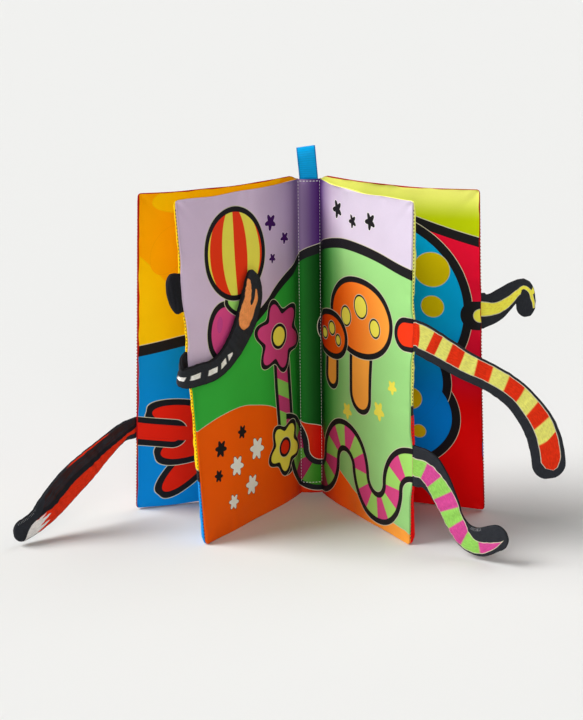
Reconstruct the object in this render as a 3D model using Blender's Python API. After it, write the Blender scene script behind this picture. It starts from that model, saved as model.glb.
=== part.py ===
"""Cloth book: four padded leaves sewn to a soft spine, six stuffed tails in the fore-edges.

The book stands on its lower edges, opened like a fan towards -Y. The origin is the middle
of the spine's foot, +Z runs up the spine and +X runs to the reader's right.
"""
import math
from collections import namedtuple

import bmesh
import bpy
import numpy as np
from mathutils import Vector

# Cloth and leaves, in metres
FABRIC = 0.0005
CLEARANCE = 0.0003
FOAM_CLEARANCE = 0.0004
PAGE_HEIGHT = 0.230
LEAF_WIDTH = 0.122
PAD_HALF = 0.0030
PAD_CROWN = 0.0008
EDGE_RADIUS = 0.008
CORNER_RADIUS = 0.005
EDGE_DRAW = 0.0012
FOOT_CUT = 0.0005
GUTTER_RISE = 0.010
FACING_RISE = 0.036
LAYER_GAP = 0.0012

# Spine
SPINE_WIDTH = 0.0165
HINGE_GAP = 0.00045
SPINE_EDGE_HALF = 0.0013
SPINE_MIDDLE_HALF = 0.0026

# Ribbon loop at the head of the spine
RIBBON_WIDTH = 0.013
RIBBON_THICKNESS = 0.0006
RIBBON_HEIGHT = 0.0225
RIBBON_DEPTH = 0.009
RIBBON_AXIS_HEIGHT = 0.0008
RIBBON_NECK = 0.0014
RIBBON_LEAN = math.radians(5.0)
RIBBON_SKEW_SHARE = 0.08
RIBBON_STEPS = 18
PRESSED_SHARE = 0.5
TEARDROP_POWER = 1.5
TEARDROP_PEAK_SHARE = 0.70

# Tails: heights on their fore-edges, and sizes along and across
TAIL_TAPER = 0.007
TAIL_ROW_GAP = 0.009
CURL_GAP = 0.0012

BRUSH_HEIGHT = 0.0623
BRUSH_REACH = 0.105
BRUSH_WIDTH = 0.029
BRUSH_THICKNESS = 0.0042
BRUSH_TIP = 0.0085
BRUSH_HEADING = 225.0
BRUSH_ROUTE_SHARES = (
    (0.0, 0.0), (0.11, -0.012), (0.25, -0.085), (0.405, -0.18), (0.55, -0.27),
    (0.70, -0.385), (0.80, -0.455), (0.90, -0.485), (0.995, -0.49))
BRUSH_WIDTH_SHARES = (0.52, 0.50, 0.66, 0.92, 1.0, 0.86, 0.62, 0.60, 0.62)

STUB_HEIGHT = 0.1700
STUB_REACH = 0.0125
STUB_WIDTH = 0.027
STUB_THICKNESS = 0.0060
STUB_TIP = 0.0055
STUB_TAPER = 0.004
STUB_HEADING = 224.0
STUB_ROUTE_SHARES = ((0.0, 0.0), (0.33, 0.0), (0.66, -0.02), (1.0, -0.05))
STUB_WIDTH_SHARES = (0.92, 1.0, 0.97, 0.90)

CURLED_HEIGHT = 0.1213
CURLED_REACH = 0.066
CURLED_WIDTH = 0.025
CURLED_THICKNESS = 0.0038
CURLED_TIP = 0.0105
CURLED_TAPER = 0.003
CURLED_ROUTE_SHARES = (
    (0.0, 0.0), (0.055, -0.005), (0.10, -0.02), (0.12, -0.035), (0.10, -0.05),
    (0.05, -0.065), (-0.06, -0.082), (-0.29, -0.09), (-0.50, 0.0), (-0.71, 0.165),
    (-0.88, 0.385), (-0.97, 0.61), (-0.965, 0.83))
CURLED_FOLD_SHARES = (0.0, 0.14, 0.33, 0.5, 0.70, 0.89, 1.0, 1.0, 1.0, 1.0, 1.0, 1.0, 1.0)
CURLED_WIDTH_SHARES = (0.82, 0.76, 0.68, 0.62, 0.58, 0.56, 0.54, 0.55, 0.66, 0.80, 1.0, 1.0, 0.90)

STRIPED_HEIGHT = 0.1425
STRIPED_REACH = 0.100
STRIPED_WIDTH = 0.0222
STRIPED_THICKNESS = 0.0040
STRIPED_TIP = 0.0100
STRIPED_HEADING = 0.0
STRIPED_ROUTE_SHARES = (
    (0.0, 0.0), (0.18, -0.112), (0.32, -0.20), (0.485, -0.285), (0.60, -0.36),
    (0.697, -0.45), (0.81, -0.61), (0.87, -0.78), (0.895, -0.98))
STRIPED_WIDTH_SHARES = (0.95, 0.88, 0.83, 0.80, 0.82, 0.85, 0.96, 1.0, 0.98)

RINGED_HEIGHT = 0.0548
RINGED_REACH = 0.070
RINGED_WIDTH = 0.028
RINGED_THICKNESS = 0.0041
RINGED_TIP = 0.0080
RINGED_HEADING = -37.0
RINGED_ROUTE_SHARES = (
    (0.0, 0.0), (0.13, -0.02), (0.25, -0.12), (0.365, -0.30), (0.44, -0.445),
    (0.56, -0.57), (0.71, -0.60), (0.87, -0.53), (1.0, -0.48))
RINGED_WIDTH_SHARES = (1.0, 0.95, 0.76, 0.62, 0.53, 0.62, 0.68, 0.62, 0.56)

BANDED_HEIGHT = 0.1465
BANDED_REACH = 0.035
BANDED_WIDTH = 0.0250
BANDED_THICKNESS = 0.0036
BANDED_TIP = 0.0042
BANDED_HEADING = 0.0
BANDED_ROUTE_SHARES = (
    (0.0, 0.0), (0.19, 0.08), (0.39, 0.24), (0.60, 0.365), (0.78, 0.33), (0.87, 0.15),
    (0.87, -0.10))
BANDED_WIDTH_SHARES = (1.0, 0.73, 0.54, 0.47, 0.44, 0.37, 0.31)

# What follows from the sizes above
SEAM_HALF = FABRIC + CLEARANCE / 2
NOSE_LENGTH = SEAM_HALF * 0.85
NOSE_HALF = math.sqrt(SEAM_HALF ** 2 - NOSE_LENGTH ** 2)
SPINE_HALF = SPINE_WIDTH / 2
SPINE_EDGE = SPINE_HALF - NOSE_LENGTH - HINGE_GAP
LAYER_OFFSET = SEAM_HALF + LAYER_GAP / 2
TAIL_AXIS_GAP = SEAM_HALF + CLEARANCE
CURL_STAND_OFF = PAD_HALF + PAD_CROWN + CURL_GAP + CURLED_THICKNESS / 2

# Where a leaf has its rows of points: shares of a soft edge and of the stretch between two
EDGE_ROW_SHARES = (0.0, 0.25, 0.55, 1.0)
ROOT_COLUMN_SHARES = (0.5, 1.0)
OPEN_COLUMN_SHARES = (0.28, 0.64)
OPEN_ROW_SHARES = (0.33, 0.66)
SPINE_COLUMN_SHARES = (-1.0, -0.5, 0.0, 0.5, 1.0)

# Where a tail has its points: shares of its half width, tip length and root taper
TAIL_COLUMN_SHARES = (-1.0, -0.62, 0.0, 0.62, 1.0)
WADDING_COLUMN_SHARES = (-0.74, 0.0, 0.74)
TIP_ROW_SHARES = (1.0, 0.40, 0.12, 0.02)
ROOT_ROW_SHARES = (0.45, 1.0)
ROUTE_SAMPLES = 24

# A leaf's side is -1 to the left and 1 to the right, its layer -1 for a page and 1 for a cover.
# Its fan is the angle from straight ahead, its bow the turn from spine to fore-edge, in degrees.
Leaf = namedtuple("Leaf", "name side layer fan_bottom fan_top bow_bottom bow_top")
LEAVES = {leaf.name: leaf for leaf in (
    Leaf("left_page", -1, -1, fan_bottom=33.1, fan_top=41.3, bow_bottom=0.0, bow_top=-2.0),
    Leaf("right_page", 1, -1, fan_bottom=28.3, fan_top=28.7, bow_bottom=0.0, bow_top=13.0),
    Leaf("left_cover", -1, 1, fan_bottom=75.2, fan_top=60.5, bow_bottom=0.0, bow_top=7.0),
    Leaf("right_cover", 1, 1, fan_bottom=68.5, fan_top=58.8, bow_bottom=0.0, bow_top=11.0),
)}

# A tail's heading is the way it leaves its leaf, in degrees from +X towards +Y. One with no
# heading is folded over and follows the page's own surface: it stands off it by its lift
# when its fold is 1, half a turn.
Tail = namedtuple("Tail", "name leaf height reach width thickness tip taper heading "
                          "route_shares width_shares lift fold_shares")
FLAT_FOLD_SHARES = (0.0,) * 9
TAILS = (
    Tail("brush_tail", "left_cover", BRUSH_HEIGHT, BRUSH_REACH, BRUSH_WIDTH, BRUSH_THICKNESS,
         BRUSH_TIP, TAIL_TAPER, BRUSH_HEADING, BRUSH_ROUTE_SHARES, BRUSH_WIDTH_SHARES,
         0.0, FLAT_FOLD_SHARES),
    Tail("stub_tail", "left_page", STUB_HEIGHT, STUB_REACH, STUB_WIDTH, STUB_THICKNESS,
         STUB_TIP, STUB_TAPER, STUB_HEADING, STUB_ROUTE_SHARES, STUB_WIDTH_SHARES,
         0.0, FLAT_FOLD_SHARES),
    Tail("curled_tail", "left_page", CURLED_HEIGHT, CURLED_REACH, CURLED_WIDTH,
         CURLED_THICKNESS, CURLED_TIP, CURLED_TAPER, None, CURLED_ROUTE_SHARES,
         CURLED_WIDTH_SHARES, CURL_STAND_OFF, CURLED_FOLD_SHARES),
    Tail("striped_tail", "right_page", STRIPED_HEIGHT, STRIPED_REACH, STRIPED_WIDTH,
         STRIPED_THICKNESS, STRIPED_TIP, TAIL_TAPER, STRIPED_HEADING, STRIPED_ROUTE_SHARES,
         STRIPED_WIDTH_SHARES, 0.0, FLAT_FOLD_SHARES),
    Tail("ringed_tail", "right_page", RINGED_HEIGHT, RINGED_REACH, RINGED_WIDTH,
         RINGED_THICKNESS, RINGED_TIP, TAIL_TAPER, RINGED_HEADING, RINGED_ROUTE_SHARES,
         RINGED_WIDTH_SHARES, 0.0, FLAT_FOLD_SHARES),
    Tail("banded_tail", "right_cover", BANDED_HEIGHT, BANDED_REACH, BANDED_WIDTH,
         BANDED_THICKNESS, BANDED_TIP, TAIL_TAPER, BANDED_HEADING, BANDED_ROUTE_SHARES,
         BANDED_WIDTH_SHARES, 0.0, FLAT_FOLD_SHARES),
)

# Base colours in linear light, and roughness
COLOURS = {
    "left_page_front_fabric": (0.06, 0.34, 0.05), "left_page_back_fabric": (0.80, 0.52, 0.02),
    "right_page_front_fabric": (0.24, 0.66, 0.18), "right_page_back_fabric": (0.56, 0.66, 0.02),
    "left_cover_inner_fabric": (0.86, 0.38, 0.01), "left_cover_outer_fabric": (0.36, 0.02, 0.02),
    "right_cover_inner_fabric": (0.64, 0.01, 0.02),
    "right_cover_outer_fabric": (0.36, 0.02, 0.02),
    "spine_front_fabric": (0.02, 0.16, 0.02), "spine_back_fabric": (0.36, 0.02, 0.02),
    "ribbon_loop": (0.01, 0.36, 0.72), "foam": (0.86, 0.84, 0.78), "wadding": (0.84, 0.84, 0.82),
    "brush_tail": (0.05, 0.02, 0.02), "stub_tail": (0.02, 0.02, 0.022),
    "curled_tail": (0.03, 0.03, 0.035), "striped_tail": (0.78, 0.09, 0.01),
    "ringed_tail": (0.62, 0.09, 0.36), "banded_tail": (0.72, 0.66, 0.03),
    "tail_back": (0.02, 0.02, 0.022),
}
FABRIC_ROUGHNESS = 0.62
FILLING_ROUGHNESS = 0.95
RIBBON_ROUGHNESS = 0.45


def clear_scene():
    """Remove every object, so that the model is built into an empty scene."""
    for thing in list(bpy.data.objects):
        bpy.data.objects.remove(thing, do_unlink=True)


def cloth_material(name, colour, roughness):
    """Return a Principled material in one colour."""
    material = bpy.data.materials.new(name)
    material.use_nodes = True
    shader = material.node_tree.nodes["Principled BSDF"]
    shader.inputs["Base Color"].default_value = (*colour, 1.0)
    shader.inputs["Roughness"].default_value = roughness
    shader.inputs["Metallic"].default_value = 0.0
    return material


def pivot(name, position):
    """Add the empty that a moving piece turns about."""
    empty = bpy.data.objects.new(name, None)
    empty.location = position
    bpy.context.scene.collection.objects.link(empty)
    return empty


def add_solid(name, vertices, faces, material, parent):
    """Add one closed, smooth-shaded body whose origin is its parent's."""
    origin = parent.location
    mesh = bpy.data.meshes.new(name)
    mesh.from_pydata([Vector(vertex) - origin for vertex in vertices], [], faces)
    work = bmesh.new()
    work.from_mesh(mesh)
    bmesh.ops.recalc_face_normals(work, faces=work.faces)
    work.to_mesh(mesh)
    work.free()
    mesh.shade_smooth()
    mesh.set_sharp_from_angle(angle=math.radians(50.0))
    mesh.materials.append(material)
    solid = bpy.data.objects.new(name, mesh)
    bpy.context.scene.collection.objects.link(solid)
    solid.parent = parent
    return solid


def grid_body(name, upper, lower, material, parent):
    """Close two point grids of one size into a solid: two skins and the rim between them."""
    rows, columns = len(upper), len(upper[0])
    vertices = [point for row in upper for point in row]
    vertices += [point for row in lower for point in row]
    half = rows * columns
    faces = []
    for i in range(rows - 1):
        for j in range(columns - 1):
            here = i * columns + j
            for triangle in ((here, here + 1, here + columns + 1),
                             (here, here + columns + 1, here + columns)):
                faces.append(triangle)
                faces.append(tuple(half + index for index in reversed(triangle)))
    rim = list(range(columns))
    rim += [i * columns + columns - 1 for i in range(1, rows)]
    rim += [(rows - 1) * columns + j for j in range(columns - 2, -1, -1)]
    rim += [i * columns for i in range(rows - 2, 0, -1)]
    for here, there in zip(rim, rim[1:] + rim[:1]):
        faces.append((there, here, half + here, half + there))
    return add_solid(name, vertices, faces, material, parent)


def leaf_root(leaf):
    """Return the foot of a leaf's stitch line, which it turns about."""
    return np.array([leaf.side * SPINE_HALF, leaf.layer * LAYER_OFFSET, 0.0])


def leaf_frame(leaf, across, height):
    """Return a point of a leaf's mid-surface and the way its reading side faces there."""
    share = height / PAGE_HEIGHT
    fan = math.radians(leaf.fan_bottom + (leaf.fan_top - leaf.fan_bottom) * share)
    bow = math.radians(leaf.bow_bottom + (leaf.bow_top - leaf.bow_bottom) * share)
    start = fan - bow / 2
    turn = bow * across / LEAF_WIDTH
    chord = across * (1 - turn * turn / 24)
    middle = start + turn / 2
    here = start + turn
    point = leaf_root(leaf) + chord * np.array(
        [leaf.side * math.sin(middle), -math.cos(middle), 0.0])
    point[2] = height
    reading = np.array([-leaf.side * math.cos(here), -math.sin(here), 0.0])
    return point, reading


def quarter_round(distance, radius):
    """Return how far a soft edge has risen at this distance from its seam, from 0 to 1."""
    short = 1 - min(max(distance / radius, 0.0), 1.0)
    return math.sqrt(1 - short * short)


def level_rise(distance, radius):
    """Return a rise from 0 to 1 that starts and ends level."""
    share = min(max(distance / radius, 0.0), 1.0)
    return share * share * (3 - 2 * share)


def drawn_edge(height):
    """Return how far a leaf's fore-edge reaches at a height, drawn in between its corners."""
    share = height / PAGE_HEIGHT
    return LEAF_WIDTH - EDGE_DRAW * 4 * share * (1 - share)


def drawn_outline(across, height):
    """Round a leaf's two outer corners and draw its fore-edge and top edge in."""
    from_edge = LEAF_WIDTH - across
    for from_end in (height, PAGE_HEIGHT - height):
        if from_edge < CORNER_RADIUS and from_end < CORNER_RADIUS:
            p, q = 1 - from_edge / CORNER_RADIUS, 1 - from_end / CORNER_RADIUS
            across = LEAF_WIDTH - CORNER_RADIUS * (1 - p * math.sqrt(1 - q * q / 2))
            inset = CORNER_RADIUS * (1 - q * math.sqrt(1 - p * p / 2))
            height = inset if from_end == height else PAGE_HEIGHT - inset
            break
    share = max(across, 0.0) / LEAF_WIDTH
    drawn = 1 - EDGE_DRAW / PAGE_HEIGHT * 4 * share * (1 - share)
    return across * drawn_edge(height) / LEAF_WIDTH, height * drawn


def pad_half(leaf, face, across, height):
    """Return half a leaf's thickness; face is 1 on the reading side and -1 behind it."""
    if across < 0:
        return NOSE_HALF
    if face == -leaf.layer:
        root = level_rise(across, GUTTER_RISE)
    else:
        root = min(across / FACING_RISE, 1.0)
    rise = root * quarter_round(LEAF_WIDTH - across, EDGE_RADIUS)
    rise *= quarter_round(PAGE_HEIGHT - height, EDGE_RADIUS)
    rise *= quarter_round(height + FOOT_CUT, EDGE_RADIUS)
    out, up = across / LEAF_WIDTH, height / PAGE_HEIGHT
    crown = PAD_CROWN * 16 * out * (1 - out) * up * (1 - up)
    return SEAM_HALF + (PAD_HALF - SEAM_HALF) * rise + crown


def leaf_stations():
    """Return where a leaf has its columns and rows of points, from seam to seam."""
    open_width = LEAF_WIDTH - EDGE_RADIUS - GUTTER_RISE
    columns = [-NOSE_LENGTH, 0.0]
    columns += [share * GUTTER_RISE for share in ROOT_COLUMN_SHARES]
    columns += [GUTTER_RISE + share * open_width for share in OPEN_COLUMN_SHARES]
    columns += [LEAF_WIDTH - share * EDGE_RADIUS for share in reversed(EDGE_ROW_SHARES)]
    open_height = PAGE_HEIGHT - 2 * EDGE_RADIUS
    rows = [share * EDGE_RADIUS for share in EDGE_ROW_SHARES]
    rows += [EDGE_RADIUS + share * open_height for share in OPEN_ROW_SHARES]
    rows += [PAGE_HEIGHT - share * EDGE_RADIUS for share in reversed(EDGE_ROW_SHARES)]
    return columns, rows


def leaf_skin(leaf, columns, rows, offset):
    """Return the points of one skin of a leaf, each at an offset from the mid-surface."""
    skin = []
    for height in rows:
        line = []
        for across in columns:
            point, reading = leaf_frame(leaf, *drawn_outline(across, height))
            line.append(point + reading * offset(across, height))
        skin.append(line)
    return skin


def leaf_fabric(leaf, face, name, parent):
    """Add one of the two printed cloths of a leaf, with its hem along the seams."""
    columns, rows = leaf_stations()

    def outside(across, height):
        return face * pad_half(leaf, face, across, height)

    def inside(across, height):
        if across in (columns[0], columns[-1]) or height in (rows[0], rows[-1]):
            return face * CLEARANCE / 2
        return face * (pad_half(leaf, face, across, height) - FABRIC)

    material = cloth_material(name, COLOURS[name], FABRIC_ROUGHNESS)
    return grid_body(name, leaf_skin(leaf, columns, rows, outside),
                     leaf_skin(leaf, columns, rows, inside), material, parent)


def leaf_foam(leaf, parent):
    """Add the foam that fills a leaf, from the second row of points inside each seam."""
    columns, rows = leaf_stations()
    columns, rows = columns[2:-1], rows[1:-1]

    def skin(face):
        def offset(across, height):
            return face * (pad_half(leaf, face, across, height) - FABRIC - FOAM_CLEARANCE)
        return leaf_skin(leaf, columns, rows, offset)

    name = leaf.name + "_foam"
    material = cloth_material(name, COLOURS["foam"], FILLING_ROUGHNESS)
    return grid_body(name, skin(1), skin(-1), material, parent)


def build_leaf(leaf):
    """Add one leaf: two cloths and the foam between them, on its stitch line."""
    hinge = pivot(leaf.name + "_hinge", leaf_root(leaf))
    front, back = ("front", "back") if leaf.layer < 0 else ("inner", "outer")
    leaf_fabric(leaf, 1, leaf.name + "_" + front + "_fabric", hinge)
    leaf_fabric(leaf, -1, leaf.name + "_" + back + "_fabric", hinge)
    leaf_foam(leaf, hinge)


def spine_half_depth(x):
    """Return half the spine's depth at x, fullest between the two stitch lines."""
    share = x / SPINE_EDGE
    return SPINE_EDGE_HALF + (SPINE_MIDDLE_HALF - SPINE_EDGE_HALF) * (1 - share * share)


def build_spine():
    """Add the spine: the printed gutter strip, its foam, and the cover cloth turned round it."""
    root = pivot("spine_root", (0.0, 0.0, 0.0))
    columns = [share * SPINE_EDGE for share in SPINE_COLUMN_SHARES]
    lining = FABRIC + CLEARANCE

    def wall(side, inset):
        return [[(x, side * (spine_half_depth(x) - inset), z) for x in columns]
                for z in (lining, PAGE_HEIGHT - lining)]

    def channel(inset):
        path = []
        for side, level in ((-1, inset), (1, inset), (1, PAGE_HEIGHT - inset),
                            (-1, PAGE_HEIGHT - inset)):
            tuck = inset if side > 0 else 0.0
            path.append([(x, side * (spine_half_depth(x) - tuck), level) for x in columns])
        return path

    pieces = (("spine_front_fabric", wall(-1, 0.0), wall(-1, FABRIC), FABRIC_ROUGHNESS),
              ("spine_foam", wall(-1, lining), wall(1, lining), FILLING_ROUGHNESS),
              ("spine_back_fabric", channel(0.0), channel(FABRIC), FABRIC_ROUGHNESS))
    for name, upper, lower, roughness in pieces:
        colour = COLOURS.get(name, COLOURS["foam"])
        grid_body(name, upper, lower, cloth_material(name, colour, roughness), root)


def ribbon_path():
    """Return the ribbon's middle line: depth, rise from its axis and thickness, end to end."""
    pressed = RIBBON_THICKNESS * PRESSED_SHARE
    end_depth, end_drop = CLEARANCE / 2 + pressed / 2, CLEARANCE / 2
    neck_depth = CLEARANCE / 2 + RIBBON_THICKNESS / 2
    crest = RIBBON_HEIGHT - RIBBON_AXIS_HEIGHT - RIBBON_THICKNESS / 2
    belly = (RIBBON_DEPTH / 2 - RIBBON_THICKNESS / 2) / TEARDROP_PEAK_SHARE
    path = [(end_depth, -end_drop, pressed), (end_depth, end_drop, pressed)]
    for step in range(RIBBON_STEPS + 1):
        turn = math.pi * 2 * step / RIBBON_STEPS
        swell = math.sin(turn) * math.sin(turn / 2) ** TEARDROP_POWER
        depth = belly * swell + neck_depth * math.cos(turn / 2)
        rise = RIBBON_NECK + (crest - RIBBON_NECK) * (1 - math.cos(turn)) / 2
        path.append((depth, rise, RIBBON_THICKNESS))
    return path + [(-end_depth, end_drop, pressed), (-end_depth, -end_drop, pressed)]


def build_ribbon():
    """Add the ribbon loop: one flat ribbon, both ends in the spine's head seam."""
    axis = PAGE_HEIGHT + RIBBON_AXIS_HEIGHT
    hinge = pivot("ribbon_hinge", (0.0, 0.0, axis))
    path = ribbon_path()
    lean = math.tan(RIBBON_LEAN)
    skins = {1: [], -1: []}
    for k, (depth, rise, thickness) in enumerate(path):
        before, after = path[max(k - 1, 0)], path[min(k + 1, len(path) - 1)]
        along = Vector((after[0] - before[0], after[1] - before[1])).normalized()
        if k < 2 or k > len(path) - 3:
            along = Vector((0.0, 1.0 if k < 2 else -1.0))
        for face, skin in skins.items():
            y = depth + along.y * face * thickness / 2
            z = rise - along.x * face * thickness / 2
            skin.append([(side * RIBBON_WIDTH / 2 - lean * max(z, 0.0), y,
                          axis + z * (1 + side * RIBBON_SKEW_SHARE / 2)) for side in (-1, 1)])
    material = cloth_material("ribbon_loop", COLOURS["ribbon_loop"], RIBBON_ROUGHNESS)
    return grid_body("ribbon_loop", skins[1], skins[-1], material, hinge)


def tail_pivot(tail, rise=0.0):
    """Return a point of the line that a tail turns about, just outside its fore-edge."""
    height = tail.height + rise
    return leaf_frame(LEAVES[tail.leaf], drawn_edge(height) + TAIL_AXIS_GAP, height)[0]


def tail_axis(tail):
    """Return the unit axis that a tail turns about, up along its fore-edge."""
    rise = tail_pivot(tail, tail.width / 4) - tail_pivot(tail, -tail.width / 4)
    return rise / np.linalg.norm(rise)


def tail_placer(tail):
    """Return the function that puts a tail's own along, up and lift into the world."""
    leaf = LEAVES[tail.leaf]
    if tail.heading is None:
        def on_page(along, rise, lift):
            height = tail.height + rise
            across = drawn_edge(height) + TAIL_AXIS_GAP + along
            point, reading = leaf_frame(leaf, across, height)
            return point + reading * lift
        return on_page
    root, axis = tail_pivot(tail), tail_axis(tail)
    heading = math.radians(tail.heading)
    onward = np.array([math.cos(heading), math.sin(heading), 0.0])
    facing = leaf.side * np.cross(onward, axis)

    def in_plane(along, rise, lift):
        return root + onward * along + axis * rise + facing * lift
    return in_plane


def tail_route(tail):
    """Return a tail's route: along, up, lift and width in metres, and its fold in radians."""
    route = []
    for (along, rise), fold, width in zip(tail.route_shares, tail.fold_shares,
                                          tail.width_shares):
        turned = math.pi * fold
        lift = tail.lift * (1 - math.cos(turned)) / 2
        route.append((along * tail.reach, rise * tail.reach, lift, width * tail.width, turned))
    return np.array(route)


def smooth_route(route):
    """Read a smooth curve through a route: its lengths, and a row of values at each.

    A row is the middle, the width, the fold, the tangent and the way that the width runs.
    """
    padded = np.vstack([2 * route[0] - route[1], route, 2 * route[-1] - route[-2]])
    curve = []
    for i in range(len(route) - 1):
        p0, p1, p2, p3 = padded[i:i + 4]
        for step in range(ROUTE_SAMPLES):
            t = step / ROUTE_SAMPLES
            curve.append((2 * p1 + (p2 - p0) * t + (2 * p0 - 5 * p1 + 4 * p2 - p3) * t ** 2
                          + (3 * p1 - p0 - 3 * p2 + p3) * t ** 3) / 2)
    curve = np.array(curve + [route[-1]])
    steps = np.linalg.norm(np.diff(curve[:, :3], axis=0), axis=1)
    length = np.concatenate([[0.0], np.cumsum(steps)])
    tangents = np.gradient(curve[:, :3], length, axis=0)
    tangents /= np.linalg.norm(tangents, axis=1)[:, None]
    folds = curve[:, 4]
    normals = np.stack([-np.sin(folds), np.zeros(len(folds)), np.cos(folds)], axis=1)
    ways = np.cross(normals, tangents)
    ways /= np.linalg.norm(ways, axis=1)[:, None]
    return length, np.hstack([curve, tangents, ways])


def tail_stations(tail, length):
    """Return where a tail has its rows of points, from the hinge's nose to the tip."""
    knots = length[ROUTE_SAMPLES:-1:ROUTE_SAMPLES]
    start, stop = tail.taper, length[-1] - tail.tip
    inner = [s for s in knots if start * 1.3 < s < stop - TAIL_ROW_GAP / 3]
    stations = [-NOSE_LENGTH, 0.0] + [share * start for share in ROOT_ROW_SHARES]
    for here, there in zip([start] + inner, inner + [stop]):
        parts = math.ceil((there - here) / TAIL_ROW_GAP)
        stations += [here + (there - here) * k / parts for k in range(1, parts)] + [there]
    return stations + [length[-1] - share * tail.tip for share in TIP_ROW_SHARES[1:]]


def tail_sections(tail):
    """Return a tail's sections: distance, middle, width way, lift way, half width, fullness."""
    length, table = smooth_route(tail_route(tail))
    sections = []
    for s in tail_stations(tail, length):
        row = np.array([np.interp(max(s, 0.0), length, column) for column in table.T])
        centre, width, tangent, way = row[0:3], row[3], row[5:8], row[8:11]
        squared = 1 - level_rise(s, tail.taper)
        tangent = tangent + (np.array([1.0, 0.0, 0.0]) - tangent) * squared
        way = way + (np.array([0.0, 1.0, 0.0]) - way) * squared
        tangent, way = tangent / np.linalg.norm(tangent), way / np.linalg.norm(way)
        tip = quarter_round(length[-1] - s, tail.tip)
        fullness = quarter_round(s, tail.taper) * tip
        sections.append((s, centre + tangent * min(s, 0.0), way, np.cross(tangent, way),
                         width / 2 * tip, fullness))
    return sections


def tail_half(tail, section, share):
    """Return half a tail's thickness at a share of its half width."""
    if section[0] < 0:
        return NOSE_HALF
    bulge = math.sqrt(max(1 - share * share, 0.0))
    return SEAM_HALF + (tail.thickness / 2 - SEAM_HALF) * bulge * section[5]


def tail_skin(tail, sections, shares, offset):
    """Return the points of one skin of a tail."""
    place = tail_placer(tail)
    return [[place(*(section[1] + section[2] * section[4] * share
                     + section[3] * offset(section, share))) for share in shares]
            for section in sections]


def tail_cloth(tail, face, name, colour, parent):
    """Add one of the two cloths of a tail, with its hem along the seam."""
    sections = tail_sections(tail)
    ends = (sections[0][0], sections[-1][0])

    def outside(section, share):
        return face * tail_half(tail, section, share)

    def inside(section, share):
        if section[0] in ends or abs(share) == 1:
            return face * CLEARANCE / 2
        return face * (tail_half(tail, section, share) - FABRIC)

    return grid_body(name, tail_skin(tail, sections, TAIL_COLUMN_SHARES, outside),
                     tail_skin(tail, sections, TAIL_COLUMN_SHARES, inside),
                     cloth_material(name, colour, FABRIC_ROUGHNESS), parent)


def tail_wadding(tail, parent):
    """Add the thin wadding inside a tail, on the rows where its cloths stand apart."""
    room = FABRIC + CLEARANCE
    sections = [section for section in tail_sections(tail) if section[0] > 0
                and tail_half(tail, section, WADDING_COLUMN_SHARES[0]) > room + CLEARANCE]

    def skin(face):
        def offset(section, share):
            halves = [tail_half(tail, section, column) - room for column in TAIL_COLUMN_SHARES]
            halves[0] = halves[-1] = CLEARANCE / 2 - CLEARANCE
            return face * float(np.interp(share, TAIL_COLUMN_SHARES, halves))
        return tail_skin(tail, sections, WADDING_COLUMN_SHARES, offset)

    name = tail.name + "_wadding"
    material = cloth_material(name, COLOURS["wadding"], FILLING_ROUGHNESS)
    return grid_body(name, skin(1), skin(-1), material, parent)


def build_tail(tail):
    """Add one stuffed tail on its hinge line at a fore-edge."""
    hinge = pivot(tail.name + "_hinge", tail_pivot(tail))
    shown = -1 if tail.lift else 1
    tail_cloth(tail, shown, tail.name + "_front_fabric", COLOURS[tail.name], hinge)
    tail_cloth(tail, -shown, tail.name + "_back_fabric", COLOURS["tail_back"], hinge)
    tail_wadding(tail, hinge)


def main():
    clear_scene()
    build_spine()
    build_ribbon()
    for leaf in LEAVES.values():
        build_leaf(leaf)
    for tail in TAILS:
        build_tail(tail)


main()
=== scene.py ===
"""Cloth book, dressed for its picture: sewn and stuffed leaves and tails, prints and threads."""
import math
from collections import namedtuple

import bpy
import numpy as np
from bpy.props import FloatProperty, FloatVectorProperty, PointerProperty
from mathutils import Matrix, Vector


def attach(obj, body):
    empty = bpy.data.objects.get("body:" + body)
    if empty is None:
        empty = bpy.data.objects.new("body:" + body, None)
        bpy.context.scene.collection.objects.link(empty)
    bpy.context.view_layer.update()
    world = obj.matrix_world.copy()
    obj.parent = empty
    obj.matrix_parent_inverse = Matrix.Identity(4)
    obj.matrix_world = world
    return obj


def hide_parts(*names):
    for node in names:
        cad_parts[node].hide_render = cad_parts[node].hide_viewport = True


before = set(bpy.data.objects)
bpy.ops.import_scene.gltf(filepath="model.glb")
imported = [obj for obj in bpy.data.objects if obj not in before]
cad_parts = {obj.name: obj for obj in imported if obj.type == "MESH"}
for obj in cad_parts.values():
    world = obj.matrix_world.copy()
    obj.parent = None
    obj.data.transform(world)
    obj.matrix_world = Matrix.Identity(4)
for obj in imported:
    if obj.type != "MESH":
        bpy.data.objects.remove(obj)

bl_info = {
    "name": "Cloth book",
    "version": (1, 0, 0),
    "blender": (4, 5, 0),
    "location": "3D View > Sidebar > Cloth book",
    "description": "Builds a soft cloth book with stuffed tails in its fore-edges",
    "category": "Add Mesh",
}

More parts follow.
